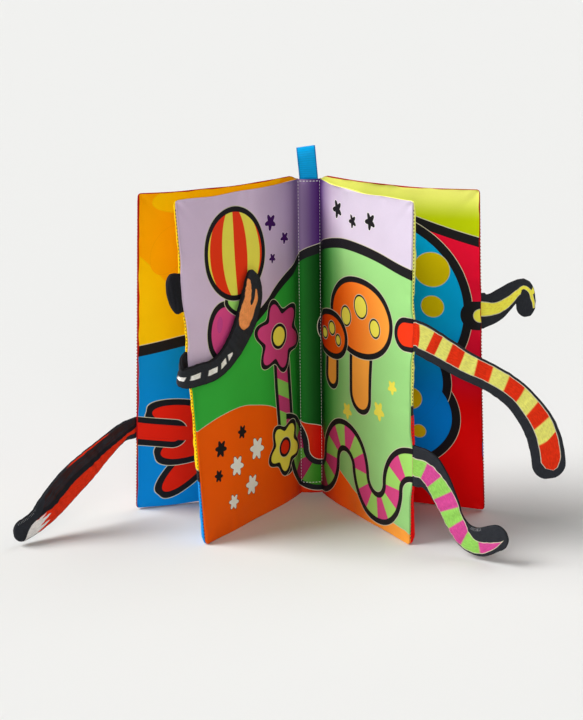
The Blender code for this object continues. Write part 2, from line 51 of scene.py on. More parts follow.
# The book's sizes, the same as those of its solids, in metres
FABRIC = 0.0005
CLEARANCE = 0.0003
PAGE_HEIGHT = 0.230
LEAF_WIDTH = 0.122
PAD_HALF = 0.0030
PAD_CROWN = 0.0008
EDGE_RADIUS = 0.0068
CORNER_RADIUS = 0.0023
EDGE_DRAW = 0.0012
FOOT_CUT = 0.0005
GUTTER_RISE = 0.010
FACING_RISE = 0.036
LAYER_GAP = 0.0012
SPINE_WIDTH = 0.0165
SPINE_EDGE_HALF = 0.0013
SPINE_MIDDLE_HALF = 0.0026
RIBBON_WIDTH = 0.013
RIBBON_THICKNESS = 0.0006
RIBBON_HEIGHT = 0.0225
RIBBON_DEPTH = 0.009
RIBBON_AXIS_HEIGHT = 0.0008
RIBBON_NECK = 0.0014
RIBBON_LEAN = math.radians(5.0)
RIBBON_SKEW_SHARE = 0.08
TEARDROP_POWER = 1.5
TEARDROP_PEAK_SHARE = 0.70
TAIL_TAPER = 0.007
CURL_GAP = 0.0012
CURLED_THICKNESS = 0.0038
SEAM_HALF = FABRIC + CLEARANCE / 2
SPINE_HALF = SPINE_WIDTH / 2
LAYER_OFFSET = SEAM_HALF + LAYER_GAP / 2
TAIL_AXIS_GAP = SEAM_HALF + CLEARANCE
CURL_STAND_OFF = PAD_HALF + PAD_CROWN + CURL_GAP + CURLED_THICKNESS / 2

# The seams: how far the cloth turns in to its seam, and how far the seam lies to the front
GROOVE_DEPTH = 0.0008
GROOVE_HALF = 0.00004
PAGE_SEAM_SHIFT = 0.0031
COVER_SEAM_SHIFT = 0.0030
COVER_HEAD_RISE = 0.0024
HEAD_WAVE, HEAD_WAVES = 0.0005, (0.071, 0.043)
HEAD_REACH, FOOT_REACH = 0.02, 0.014
COVER_HEM, PAGE_HEM = 0.0024, 0.0006
HELD_STRIP, HELD_ROOT = 0.0009, 0.004

# The puckers along the seams: how far they reach into the cloth, and the lengths of their waves
SHORT_REACH = 0.0056
EDGE_LONG_REACH, END_LONG_REACH = 0.021, 0.019
EDGE_SHORT_WAVES, EDGE_LONG_WAVES = (0.019, 0.0123, 0.0083), (0.061, 0.037)
END_SHORT_WAVES, END_LONG_WAVES = (0.018, 0.0117, 0.0086), (0.057, 0.034)
SEAM_STRIP, GUTTER_STRIP = 0.0012, 0.006
LONG_SHARE, BROAD_SHARE, ROOT_SHARE = 0.9, 0.65, 1.2
GUTTER_FADE, ROOT_FADE, SHIFT_REACH = 0.012, 0.010, 0.030
ROOT_GATHERS = 0.0042
BROAD_REACH = 0.040
BROAD_ACROSS, BROAD_UP = (0.0115, 0.034), (0.023, 0.0165)

# The fold that runs in from each corner, and the pleat beside it
FOLD_SHARE, FOLD_HALF, FOLD_START, FOLD_REACH = 1.5, 0.0018, 0.003, 0.016
PLEAT_SHARE, PLEAT_HALF, PLEAT_ASIDE = 0.6, 0.0022, 0.0042

# The meshes: how far apart their points stand, and how each pad is filled
SEAM_STATIONS = np.array([0.0, 0.0003, 0.0008, 0.0016, 0.0027, 0.0041, 0.0058, 0.0078])
LEAF_STEP, SPINE_STEP, TAIL_STEP = 0.0026, 0.003, 0.0014
SIMULATION_FRAMES = 20
FILLING_PRESSURE = 3.0
LEAF_SWELL, TAIL_SWELL, CURLED_SWELL = 0.0013, 0.0008, 0.0004
SIDEWAYS_SHARE = 0.5
CLOTH_SETTINGS = {
    "quality": 6, "mass": 0.15, "tension_stiffness": 25, "compression_stiffness": 25,
    "shear_stiffness": 8, "bending_stiffness": 0.6, "use_pressure": True,
}

Leaf = namedtuple("Leaf", "name side layer fan_bottom fan_top bow_bottom bow_top seed")
LEAVES = {leaf.name: leaf for leaf in (
    Leaf("left_page", -1, -1, 33.1, 41.3, 0.0, -2.0, 1),
    Leaf("right_page", 1, -1, 28.3, 28.7, 0.0, 13.0, 2),
    Leaf("left_cover", -1, 1, 75.2, 60.5, 0.0, 7.0, 3),
    Leaf("right_cover", 1, 1, 68.5, 58.8, 0.0, 11.0, 4),
)}

# A tail lies flat unless it says how far it lifts, and how far round it is folded on its way
Tail = namedtuple("Tail", "name leaf height reach width thickness tip taper heading "
                          "route_shares width_shares lift fold_shares",
                  defaults=(0.0, (0.0,) * 9))
TAILS = {tail.name: tail for tail in (
    Tail("brush_tail", "left_cover", 0.0623, 0.105, 0.029, 0.0042, 0.0085, TAIL_TAPER, 225.0,
         ((0.0, 0.0), (0.11, -0.012), (0.25, -0.085), (0.405, -0.18), (0.55, -0.27),
          (0.70, -0.385), (0.80, -0.458), (0.90, -0.495), (0.99, -0.508)),
         (0.54, 0.50, 0.60, 0.78, 0.85, 0.78, 0.62, 0.56, 0.62)),
    Tail("stub_tail", "left_page", 0.1700, 0.0110, 0.027, 0.0060, 0.0055, 0.004, 224.0,
         ((0.0, 0.0), (0.30, 0.0), (0.62, -0.03), (0.92, -0.07)),
         (0.94, 1.0, 0.95, 0.80)),
    Tail("curled_tail", "left_page", 0.1213, 0.066, 0.025, CURLED_THICKNESS, 0.0085, 0.003, None,
         ((0.0, 0.0), (0.06, -0.022), (0.12, -0.050), (0.16, -0.068), (0.135, -0.079),
          (0.05, -0.081), (-0.06, -0.080), (-0.29, -0.078), (-0.50, 0.0), (-0.71, 0.165),
          (-0.88, 0.385), (-0.97, 0.61), (-0.965, 0.83)),
         (0.78, 0.66, 0.56, 0.50, 0.52, 0.56, 0.58, 0.57, 0.62, 0.74, 0.86, 0.78, 0.36),
         CURL_STAND_OFF,
         (0.0, 0.14, 0.33, 0.5, 0.70, 0.89, 1.0, 1.0, 1.0, 1.0, 1.0, 1.0, 1.0)),
    Tail("striped_tail", "right_page", 0.1425, 0.100, 0.0222, 0.0040, 0.0100, TAIL_TAPER, 0.0,
         ((0.0, 0.0), (0.18, -0.112), (0.32, -0.20), (0.485, -0.285), (0.60, -0.36),
          (0.697, -0.45), (0.81, -0.61), (0.87, -0.78), (0.895, -0.98)),
         (0.95, 0.88, 0.83, 0.80, 0.82, 0.85, 0.96, 1.0, 0.98)),
    Tail("ringed_tail", "right_page", 0.0548, 0.070, 0.028, 0.0041, 0.0080, TAIL_TAPER, -37.0,
         ((0.0, 0.0), (0.13, -0.02), (0.25, -0.12), (0.365, -0.30), (0.44, -0.445),
          (0.56, -0.57), (0.71, -0.60), (0.87, -0.53), (1.0, -0.48)),
         (1.0, 0.95, 0.76, 0.62, 0.53, 0.62, 0.68, 0.62, 0.56)),
    Tail("banded_tail", "right_cover", 0.1465, 0.035, 0.0250, 0.0036, 0.0064, TAIL_TAPER, 0.0,
         ((0.0, 0.0), (0.215, 0.08), (0.43, 0.25), (0.61, 0.40), (0.765, 0.50), (0.845, 0.40),
          (0.825, 0.20), (0.825, 0.03), (0.855, -0.13)),
         (1.0, 0.80, 0.64, 0.52, 0.38, 0.40, 0.52, 0.50, 0.44)),
)}


def written(red, green, blue):
    """Return a colour written in screen values from 0 to 255 as linear light with alpha."""
    def linear(value):
        share = value / 255
        return share / 12.92 if share <= 0.04045 else ((share + 0.055) / 1.055) ** 2.4
    return (linear(red), linear(green), linear(blue), 1.0)


def colour(label, red, green, blue):
    """Return the property of one cloth colour."""
    return FloatVectorProperty(
        name=label, description=f"Colour of the {label.lower()}", subtype="COLOR", size=4,
        min=0.0, max=1.0, default=written(red, green, blue))


class ClothBookColours(bpy.types.PropertyGroup):
    """The colours of the book's prints, cloths and threads, with the painted gutter shade and
    painted sheen on the middle spread.
    """

    ink: colour("Outlines", 30, 29, 32)
    edge: colour("Hairlines", 214, 208, 180)
    # the colours named for the gutter are painted shade, which each print colour turns to towards
    # the gutter
    lavender: colour("Sky", 219, 196, 221)
    # the sunny ends are painted light and sheen, which the sky, hill and ground turn to towards the
    # right page's fore-edge; the pale orange is also the toadstools' stalks
    sheen_lavender: colour("Sky's sunny end", 215, 203, 222)
    gutter_shade_lavender: colour("Sky in the gutter", 72, 22, 106)
    sheen_green: colour("Hill's sunny end", 156, 216, 132)
    green: colour("Hill", 58, 182, 66)
    gutter_shade_green: colour("Hill in the gutter", 0, 58, 6)
    orange: colour("Ground", 255, 98, 10)
    gutter_shade_orange: colour("Ground in the gutter", 200, 10, 4)
    stalk_and_sheen_orange: colour("Ground's sunny end", 255, 168, 66)
    magenta: colour("Band's first stripe", 222, 76, 140)
    gutter_shade_magenta: colour("First stripe in the gutter", 124, 24, 52)
    lime: colour("Band's second stripe", 166, 226, 110)
    gutter_shade_lime: colour("Second stripe in the gutter", 40, 128, 24)
    lemon: colour("Yellow shapes", 240, 228, 84)
    red: colour("Red shapes", 236, 34, 12)
    scarlet: colour("Bright red shapes", 240, 58, 24)
    crimson: colour("Right cover's hill", 236, 16, 54)
    cherry: colour("Right cover's hill below", 246, 8, 10)
    # also the painted light along the left page's back by its fore-edge
    sunny: colour("Left cover's sky", 248, 177, 2)
    clouds_and_lit_edge: colour("Left cover's clouds", 248, 205, 4)
    sky_blue: colour("Left cover's water", 2, 142, 222)
    lime_yellow: colour("Right cover's sky", 255, 255, 128)
    deep_lime_yellow: colour("Right cover's sky below", 190, 205, 8)
    teal: colour("Right cover's egg", 2, 172, 236)
    sea_blue: colour("Right cover's egg below", 0, 136, 232)
    mustard: colour("Right cover's dots", 222, 196, 6)
    jacket: colour("Jacket", 184, 20, 22)
    plum: colour("Left page's stars", 60, 20, 84)
    white: colour("White shapes", 244, 241, 236)
    ribbon: colour("Ribbon", 6, 170, 236)
    ribbon_edge: colour("Ribbon's edges", 2, 104, 170)
    charcoal: colour("Dark tails", 44, 46, 51)
    stub: colour("Stub tail", 30, 30, 34)
    brown: colour("Brush tail", 62, 30, 24)
    tail_red: colour("Tails' red", 232, 50, 16)
    tail_yellow: colour("Tails' yellow", 238, 234, 116)
    tail_lemon: colour("Banded tail's yellow", 255, 244, 84)
    tail_lime: colour("Tails' lime", 146, 208, 92)
    tail_pink: colour("Tails' pink", 208, 74, 146)
    tail_orange: colour("Tails' orange", 250, 158, 92)
    thread: colour("White thread", 240, 238, 230)
    dark_thread: colour("Dark thread", 40, 30, 28)
    grey_thread: colour("Grey thread", 128, 128, 130)


# ------------------------------------------------------------------ shapes
def leaf_place(leaf, across, height):
    """Return points of a leaf's mid-surface and the way its reading side faces there."""
    share = height / PAGE_HEIGHT
    fan = np.radians(leaf.fan_bottom + (leaf.fan_top - leaf.fan_bottom) * share)
    bow = np.radians(leaf.bow_bottom + (leaf.bow_top - leaf.bow_bottom) * share)
    turn = bow * across / LEAF_WIDTH
    chord = across * (1 - turn * turn / 24)
    middle = fan - bow / 2 + turn / 2
    here = fan - bow / 2 + turn
    points = np.stack([leaf.side * (SPINE_HALF + chord * np.sin(middle)),
                       leaf.layer * LAYER_OFFSET - chord * np.cos(middle),
                       height + 0 * across], axis=-1)
    reading = np.stack([-leaf.side * np.cos(here), -np.sin(here), 0 * here], axis=-1)
    return points, reading


def quarter_round(distance, radius):
    """Return how far a soft edge has risen at a distance from its seam, from 0 to 1."""
    short = 1 - np.clip(distance / radius, 0.0, 1.0)
    return np.sqrt(1 - short * short)


def level_rise(distance, radius):
    """Return a rise from 0 to 1 that starts and ends level."""
    share = np.clip(distance / radius, 0.0, 1.0)
    return share * share * (3 - 2 * share)


def drawn_edge(height):
    """Return how far a leaf's fore-edge reaches at a height."""
    share = height / PAGE_HEIGHT
    return LEAF_WIDTH - EDGE_DRAW * 4 * share * (1 - share)


def drawn_outline(across, height):
    """Round a leaf's two outer corners and draw its fore-edge and top edge in."""
    from_edge = LEAF_WIDTH - across
    low = height < PAGE_HEIGHT / 2
    from_end = np.where(low, height, PAGE_HEIGHT - height)
    corner = (from_edge < CORNER_RADIUS) & (from_end < CORNER_RADIUS)
    p = np.clip(1 - from_edge / CORNER_RADIUS, 0, 1)
    q = np.clip(1 - from_end / CORNER_RADIUS, 0, 1)
    rounded = LEAF_WIDTH - CORNER_RADIUS * (1 - p * np.sqrt(1 - q * q / 2))
    inset = CORNER_RADIUS * (1 - q * np.sqrt(1 - p * p / 2))
    across = np.where(corner, rounded, across)
    height = np.where(corner, np.where(low, inset, PAGE_HEIGHT - inset), height)
    share = np.maximum(across, 0.0) / LEAF_WIDTH
    drawn = 1 - EDGE_DRAW / PAGE_HEIGHT * 4 * share * (1 - share)
    return across * drawn_edge(height) / LEAF_WIDTH, height * drawn


def seam_rise(across, height):
    """Return how far a leaf's soft edges have risen from their seams, from 0 to 1."""
    rise = quarter_round(LEAF_WIDTH - across, EDGE_RADIUS)
    for from_end in (PAGE_HEIGHT - height, height + FOOT_CUT):
        rise = rise * quarter_round(from_end, EDGE_RADIUS)
    return rise


def pad_half(leaf, face, across, height):
    """Return half a leaf's thickness; face is 1 on the reading side and -1 behind it."""
    if face == -leaf.layer:
        root = level_rise(across, GUTTER_RISE)
    else:
        root = np.clip(across / FACING_RISE, 0.0, 1.0)
    rise = root * seam_rise(across, height)
    out, up = np.maximum(across, 0) / LEAF_WIDTH, height / PAGE_HEIGHT
    crown = PAD_CROWN * 16 * out * (1 - out) * up * (1 - up)
    half = SEAM_HALF + (PAD_HALF - SEAM_HALF) * rise + crown
    rolled = np.sqrt(np.maximum(SEAM_HALF ** 2 - np.minimum(across, 0) ** 2, 0))
    return np.where(across < 0, rolled, half)


def uneven_wave(along, lengths, seed):
    """Return an uneven ripple from -1 to 1 along a seam, the same for the same seed."""
    ripple = 0.0
    for k, length in enumerate(lengths):
        ripple = ripple + np.sin(2 * math.pi * along / length + seed * 2.3 + k * 1.9)
    slow = 0.6 + 0.4 * np.sin(2 * math.pi * along / (lengths[0] * 3.7) + seed * 1.3)
    return ripple / len(lengths) * slow


def near_tails(leaf, across, height, spread):
    """Return 1 where a tail's root is sewn into a leaf's fore-edge, falling to 0 around it."""
    near = 0.0
    for tail in TAILS.values():
        if tail.leaf == leaf.name:
            rise = (height - tail.height) / (tail.width * tail.width_shares[0] * spread)
            near = near + np.exp(-rise ** 4)
    return near * np.exp(-(LEAF_WIDTH - across) / ROOT_FADE)


def seam_shift(leaf, across, height):
    """Return how far a leaf's cloths stand to the reading side at the seam and near it."""
    shift = PAGE_SEAM_SHIFT if leaf.layer < 0 else COVER_SEAM_SHIFT
    shift = shift * (1 - seam_rise(across, height))
    return shift * level_rise(across, SHIFT_REACH) * (1 - near_tails(leaf, across, height, 0.62))


def leaf_puckers(leaf, face, across, height, pucker):
    """Return how far the cloth stands off its pad along the seams, corners and tails' roots."""
    seed = leaf.seed * 2 + face
    from_edge = LEAF_WIDTH - across
    near = 1 - np.exp(-np.maximum(across, 0) / GUTTER_FADE)
    lift = np.exp(-from_edge / SHORT_REACH) * uneven_wave(height, EDGE_SHORT_WAVES, seed)
    lift += LONG_SHARE * np.exp(-from_edge / EDGE_LONG_REACH) * uneven_wave(
        height, EDGE_LONG_WAVES, seed + 5)
    for k, from_end in enumerate((height, PAGE_HEIGHT - height)):
        lift += np.exp(-from_end / SHORT_REACH) * near * uneven_wave(
            across, END_SHORT_WAVES, seed + 7 + k)
        lift += LONG_SHARE * np.exp(-from_end / END_LONG_REACH) * near * uneven_wave(
            across, END_LONG_WAVES, seed + 9 + k)
        # a fold that runs in from the corner
        inward, aside = from_edge + from_end, from_edge - from_end
        fold = np.exp(-(aside / FOLD_HALF) ** 2)
        fold = fold - PLEAT_SHARE * np.exp(-((aside - PLEAT_ASIDE) / PLEAT_HALF) ** 2)
        reach = np.exp(-inward / FOLD_REACH)
        lift -= FOLD_SHARE * fold * reach * (1 - np.exp(-inward / FOLD_START))
    broad = np.sin(across / BROAD_ACROSS[0] + height / BROAD_UP[0] + seed) * np.sin(
        height / BROAD_UP[1] - across / BROAD_ACROSS[1] + seed * 1.7)
    lift += BROAD_SHARE * broad * level_rise(across, BROAD_REACH)
    roots = near_tails(leaf, across, height, 0.5)
    lift -= ROOT_SHARE * roots * (1 - 0.6 * np.cos(height / ROOT_GATHERS + seed))
    for inside, strip in ((height, SEAM_STRIP), (PAGE_HEIGHT - height, SEAM_STRIP),
                          (from_edge, SEAM_STRIP), (across, GUTTER_STRIP)):
        lift = lift * np.clip(inside / strip, 0, 1)
    return pucker * lift


def stations(start, stop, step):
    """Return positions from start to stop, closer together at both ends."""
    low, high = start + SEAM_STATIONS, stop - SEAM_STATIONS[::-1]
    parts = max(int(round((high[0] - low[-1]) / step)), 1)
    middle = np.linspace(low[-1], high[0], parts + 1)[1:-1]
    return np.concatenate([low, middle, high])


# ------------------------------------------------------------------ meshes
def pad_mesh(front, back, cloth, layout=None):
    """Close two grids of one size into a pad with two cloths, its seam round the outside."""
    rows, columns = front.shape[:2]
    points = np.concatenate([front.reshape(-1, 3), back.reshape(-1, 3)])
    half = rows * columns
    index = np.arange(half).reshape(rows, columns)
    # one face to each square of both grids, and a band of faces round their rims
    quads = np.stack([index[:-1, :-1], index[:-1, 1:], index[1:, 1:], index[1:, :-1]], axis=-1)
    quads = quads.reshape(-1, 4)
    faces = np.concatenate([quads, quads[:, ::-1] + half])
    rim = np.concatenate([index[0, :], index[1:, -1], index[-1, -2::-1], index[-2:0:-1, 0]])
    ahead = np.roll(rim, -1)
    seam = np.stack([ahead, rim, rim + half, ahead + half], axis=-1)
    faces = np.concatenate([faces, seam])
    mesh = bpy.data.meshes.new("pad")
    mesh.from_pydata(points.tolist(), [], faces.tolist())
    corners = faces.reshape(-1)
    for layer, values in (("cloth", cloth), ("layout", layout)):
        if values is not None:
            flat = np.concatenate([values[0].reshape(-1, 2), values[1].reshape(-1, 2)])
            mesh.uv_layers.new(name=layer).data.foreach_set("uv", flat[corners].reshape(-1))
    slots = np.zeros(len(faces), np.int32)
    slots[len(quads):] = 1
    mesh.polygons.foreach_set("material_index", slots)
    mesh.update()
    if signed_volume(points, faces) < 0:
        mesh.flip_normals()
    mesh.shade_smooth()
    return mesh


def signed_volume(points, faces):
    """Return six times the volume that quads enclose, above zero when they face out."""
    a, b, c, d = (points[faces[:, k]] for k in range(4))
    return float((a * (np.cross(b, c) + np.cross(c, d))).sum())


def linked(name, data):
    """Return a new object of the scene."""
    thing = bpy.data.objects.new(name, data)
    bpy.context.scene.collection.objects.link(thing)
    return thing


def add_piece(name, mesh, body, materials, replaced=()):
    """Add one piece of the book, let it ride on its body and stand for its solids."""
    mesh.name = name
    piece = linked(name, mesh)
    for material in materials:
        mesh.materials.append(material)
    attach(piece, body)
    if replaced:
        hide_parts(*replaced)
    return piece


def read(vertices, name):
    """Return one row of three numbers for each vertex."""
    values = np.empty(len(vertices) * 3)
    vertices.foreach_get(name, values)
    return values.reshape(-1, 3)


def inflate(piece, pinned, growth, cap, freedom=1.0):
    """Fill a closed pad with the cloth simulation, its seams held, and keep it near its form."""
    mesh = piece.data
    before, normals = read(mesh.vertices, "co"), read(mesh.vertices, "normal")
    group = piece.vertex_groups.new(name="held")
    group.add([int(k) for k in np.flatnonzero(pinned)], 1.0, "REPLACE")
    modifier = piece.modifiers.new("filling", "CLOTH")
    cloth = modifier.settings
    for name, value in CLOTH_SETTINGS.items():
        setattr(cloth, name, value)
    cloth.vertex_group_mass = "held"
    cloth.shrink_min = -growth
    cloth.uniform_pressure_force = FILLING_PRESSURE
    cloth.effector_weights.gravity = 0.0
    modifier.collision_settings.use_collision = False
    modifier.collision_settings.use_self_collision = False
    modifier.point_cache.frame_start = 1
    modifier.point_cache.frame_end = SIMULATION_FRAMES
    scene = bpy.context.scene
    for number in range(1, SIMULATION_FRAMES + 1):
        scene.frame_set(number)
    solved = piece.evaluated_get(bpy.context.evaluated_depsgraph_get()).data
    moved = np.nan_to_num(read(solved.vertices, "co") - before)
    piece.modifiers.remove(modifier)
    piece.vertex_groups.remove(group)
    scene.frame_set(1)
    out = (moved * normals).sum(axis=1, keepdims=True)
    side = moved - out * normals
    out = cap * np.tanh(out / cap)
    sideways = np.linalg.norm(side, axis=1, keepdims=True) + 1e-12
    side = side / sideways * cap * SIDEWAYS_SHARE * np.tanh(sideways / (cap * SIDEWAYS_SHARE))
    held = pinned.reshape(-1, 1)
    placed = np.where(held, before, before + (normals * out + side) * freedom)
    placed[:, 2] = np.maximum(placed[:, 2], 0.0)
    mesh.vertices.foreach_set("co", placed.reshape(-1))
    mesh.update()


def thread_mesh(threads, radius):
    """Return one mesh of short threads, each a rounded rod between two points."""
    rings = ((0.0, 0.35), (0.12, 0.85), (0.5, 1.0), (0.88, 0.85), (1.0, 0.35))
    sides = 6
    points, faces = [], []
    for start, end in threads:
        start, end = np.asarray(start), np.asarray(end)
        along = end - start
        length = np.linalg.norm(along)
        along = along / length
        helper = np.array([0.0, 0.0, 1.0]) if abs(along[2]) < 0.8 else np.array([1.0, 0.0, 0.0])
        first = np.cross(along, helper)
        first /= np.linalg.norm(first)
        second = np.cross(along, first)
        base = len(points)
        for share, width in rings:
            for k in range(sides):
                turn = 2 * math.pi * k / sides
                points.append(start + along * length * share + radius * width * (
                    first * math.cos(turn) + second * math.sin(turn)))
        for ring in range(len(rings) - 1):
            for k in range(sides):
                here, there = base + ring * sides + k, base + ring * sides + (k + 1) % sides
                faces.append((here, there, there + sides, here + sides))
        last = base + (len(rings) - 1) * sides
        faces += [tuple(range(base + sides - 1, base - 1, -1)), tuple(range(last, last + sides))]
    mesh = bpy.data.meshes.new("threads")
    mesh.from_pydata([tuple(point) for point in points], [], faces)
    mesh.shade_smooth()
    return mesh


# ------------------------------------------------------------------ node trees
def calculation(operation, swapped=False):
    """Return the method of Value that does one operation of a Math node."""
    def work(value, other=0.0):
        pair = (other, value) if swapped else (value, other)
        return value.tree.calc(operation, *pair)
    return work


class Value:
    """A number that nodes work out, which sums take like any other number."""

    def __init__(self, tree, socket):
        self.tree = tree
        self.socket = socket

    __add__ = __radd__ = calculation("ADD")
    __mul__ = __rmul__ = calculation("MULTIPLY")
    __sub__, __rsub__ = calculation("SUBTRACT"), calculation("SUBTRACT", swapped=True)
    __truediv__, __rtruediv__ = calculation("DIVIDE"), calculation("DIVIDE", swapped=True)
    __lt__, __gt__ = calculation("LESS_THAN"), calculation("GREATER_THAN")
    __abs__ = calculation("ABSOLUTE")


class Tree:
    """Adds nodes to one node tree, with their values and links."""

    def __init__(self, tree):
        self.tree = tree

    def add(self, kind, inputs=None, **settings):
        """Add a node; an input is a value, or a socket to link from."""
        node = self.tree.nodes.new("ShaderNode" + kind)
        for name, value in settings.items():
            setattr(node, name, value)
        for key, value in (inputs or {}).items():
            self.feed(node.inputs[key], value)
        return node

    def feed(self, socket, value):
        """Link a socket from another, or write its value."""
        value = getattr(value, "socket", value)
        if isinstance(value, bpy.types.NodeSocket):
            self.tree.links.new(value, socket)
        else:
            socket.default_value = value

    def calc(self, operation, first, second=0.0, third=0.0):
        """Return what a Math node works out."""
        node = self.add("Math", {0: first, 1: second, 2: third}, operation=operation)
        return Value(self, node.outputs[0])

    def vector(self, operation, first, second=(0.0, 0.0, 0.0), scale=1.0):
        """Return the vector that a Vector Math node works out, or its value if it gives one."""
        node = self.add("VectorMath", {0: first, 1: second, 3: scale}, operation=operation)
        if operation in ("LENGTH", "DOT_PRODUCT", "DISTANCE"):
            return Value(self, node.outputs["Value"])
        return node.outputs[0]

    def step(self, value, low, high):
        """Return 0 below low and 1 above high, smooth between."""
        node = self.add("MapRange", {"Value": value, "From Min": low, "From Max": high},
                        interpolation_type="SMOOTHSTEP")
        return Value(self, node.outputs["Result"])

    def mix(self, share, under, over, blend="MIX"):
        """Return one colour laid over another."""
        node = self.add("Mix", {0: share, 6: under, 7: over}, data_type="RGBA", blend_type=blend)
        return node.outputs[2]

    def split(self, vector):
        """Return a vector's three parts."""
        return [Value(self, part) for part in self.add("SeparateXYZ", {0: vector}).outputs]

    def noise(self, place, scale, detail):
        """Return an uneven pattern, mostly about one half."""
        node = self.add("TexNoise", {"Vector": place, "Scale": scale, "Detail": detail})
        return Value(self, node.outputs[0])

    def profile(self, along, points, low=-1.0, high=1.0, between="LINEAR"):
        """Return a value that changes along a cloth, from pairs of place and value."""
        start, end = points[0][0], points[-1][0]
        ramp = self.add("ValToRGB", {0: (along - start) / (end - start)})
        ramp.color_ramp.interpolation = between
        stops = ramp.color_ramp.elements
        while len(stops) < len(points):
            stops.new(0.5)
        for stop, (place, value) in zip(stops, points):
            grey = (value - low) / (high - low)
            stop.position = (place - start) / (end - start)
            stop.color = (grey, grey, grey, 1.0)
        return Value(self, ramp.outputs[0]) * (high - low) + low

    def place(self, group, inputs):
        """Add a node group with its own values, and return its outputs."""
        return self.add("Group", inputs, node_tree=group).outputs


SOCKET_KINDS = {**dict.fromkeys("Under Fill Second Outline Edge Colour".split(), "Color"),
                **dict.fromkeys("Cloth Centre Radii From To".split(), "Vector")}
INKED = "Under Fill Outline Edge Line "
SOFT_EDGE = 0.00012
EDGE_LINE = 0.00045


def effect(name, inputs, outputs, work):
    """Return a node group from the names of its sockets; work gives what its outputs say."""
    group = bpy.data.node_groups.new(name, "ShaderNodeTree")
    for keys, way in ((inputs, "INPUT"), (outputs, "OUTPUT")):
        for key in keys.split():
            group.interface.new_socket(key, in_out=way, socket_type="NodeSocket" + SOCKET_KINDS.get(
                key, "Float"))
    tree = Tree(group)
    given = group.nodes.new("NodeGroupInput").outputs
    result = group.nodes.new("NodeGroupOutput").inputs
    values = work(tree, {key: Value(tree, given[key]) for key in inputs.split()})
    for key, value in zip(outputs.split(), values):
        tree.feed(result[key], value)
    return group


def inked_colour(tree, given):
    """A printed shape from its distance: its fill, its black outline and a pale hairline."""
    colour = given["Under"]
    for limit, ink in ((given["Line"] + EDGE_LINE, "Edge"), (given["Line"], "Outline"),
                       (0.0, "Fill")):
        within = tree.step(limit - given["Distance"], -SOFT_EDGE, SOFT_EDGE)
        colour = tree.mix(within, colour, given[ink])
    return [colour]


def oval_distance(tree, given):
    """Distance to an ellipse."""
    local = tree.vector("SUBTRACT", given["Cloth"], given["Centre"])
    local = tree.add("VectorRotate", {"Vector": local, "Angle": given["Turn"]},
                     rotation_type="Z_AXIS").outputs[0]
    near = tree.vector("DIVIDE", local, given["Radii"])
    nearer = tree.vector("DIVIDE", near, given["Radii"])
    size = tree.vector("LENGTH", near)
    return size * (size - 1.0) / tree.calc("MAXIMUM", tree.vector("LENGTH", nearer), 1.0)


def bar_distance(tree, given):
    """Distance to a round-ended bar."""
    local = tree.vector("SUBTRACT", given["Cloth"], given["From"])
    whole = tree.vector("SUBTRACT", given["To"], given["From"])
    share = tree.vector("DOT_PRODUCT", local, whole) / tree.vector("DOT_PRODUCT", whole, whole)
    foot = tree.vector("SCALE", whole, scale=tree.add("Clamp", {0: share}).outputs[0])
    return tree.vector("DISTANCE", local, foot) - given["Half"]


def petal_distance(tree, given):
    """Distance to a flower or a star: a round form whose edge goes in and out."""
    local = tree.vector("SUBTRACT", given["Cloth"], given["Centre"])
    x, y, _ = tree.split(local)
    angle = tree.calc("ARCTAN2", y, x) + given["Turn"]
    wave = tree.calc("COSINE", angle * given["Petals"])
    return tree.vector("LENGTH", local) - given["Radius"] * (wave * given["Depth"] + 1.0)


def woven(tree, given):
    """A plain weave with slubs: its height for a bump, its changes of shade and roughness."""
    across, up, _ = tree.split(given["Cloth"])
    turns = 2 * math.pi / given["Pitch"]
    threads = tree.calc("SINE", across * turns) * tree.calc("SINE", up * turns)
    stretched = tree.vector("MULTIPLY", given["Cloth"], (0.040, 0.104, 0.0))
    slubs = tree.noise(tree.vector("SCALE", stretched, scale=turns), 1.0, 2.0)
    drift = tree.noise(given["Cloth"], 42.0, 3.0)
    height = drift * given["Crease"] + (threads * 0.25 + slubs * 0.5)
    # the threads and slubs make the cloth's own uneven tone; the slow drift is uneven tone, and
    # painted light and shade on the creases that the same noise lifts
    shade = threads * 0.02 + (drift * 0.10 + 0.95) + (slubs - 0.5) * given["Grain"]
    return height, shade, drift * 0.16 + 0.36


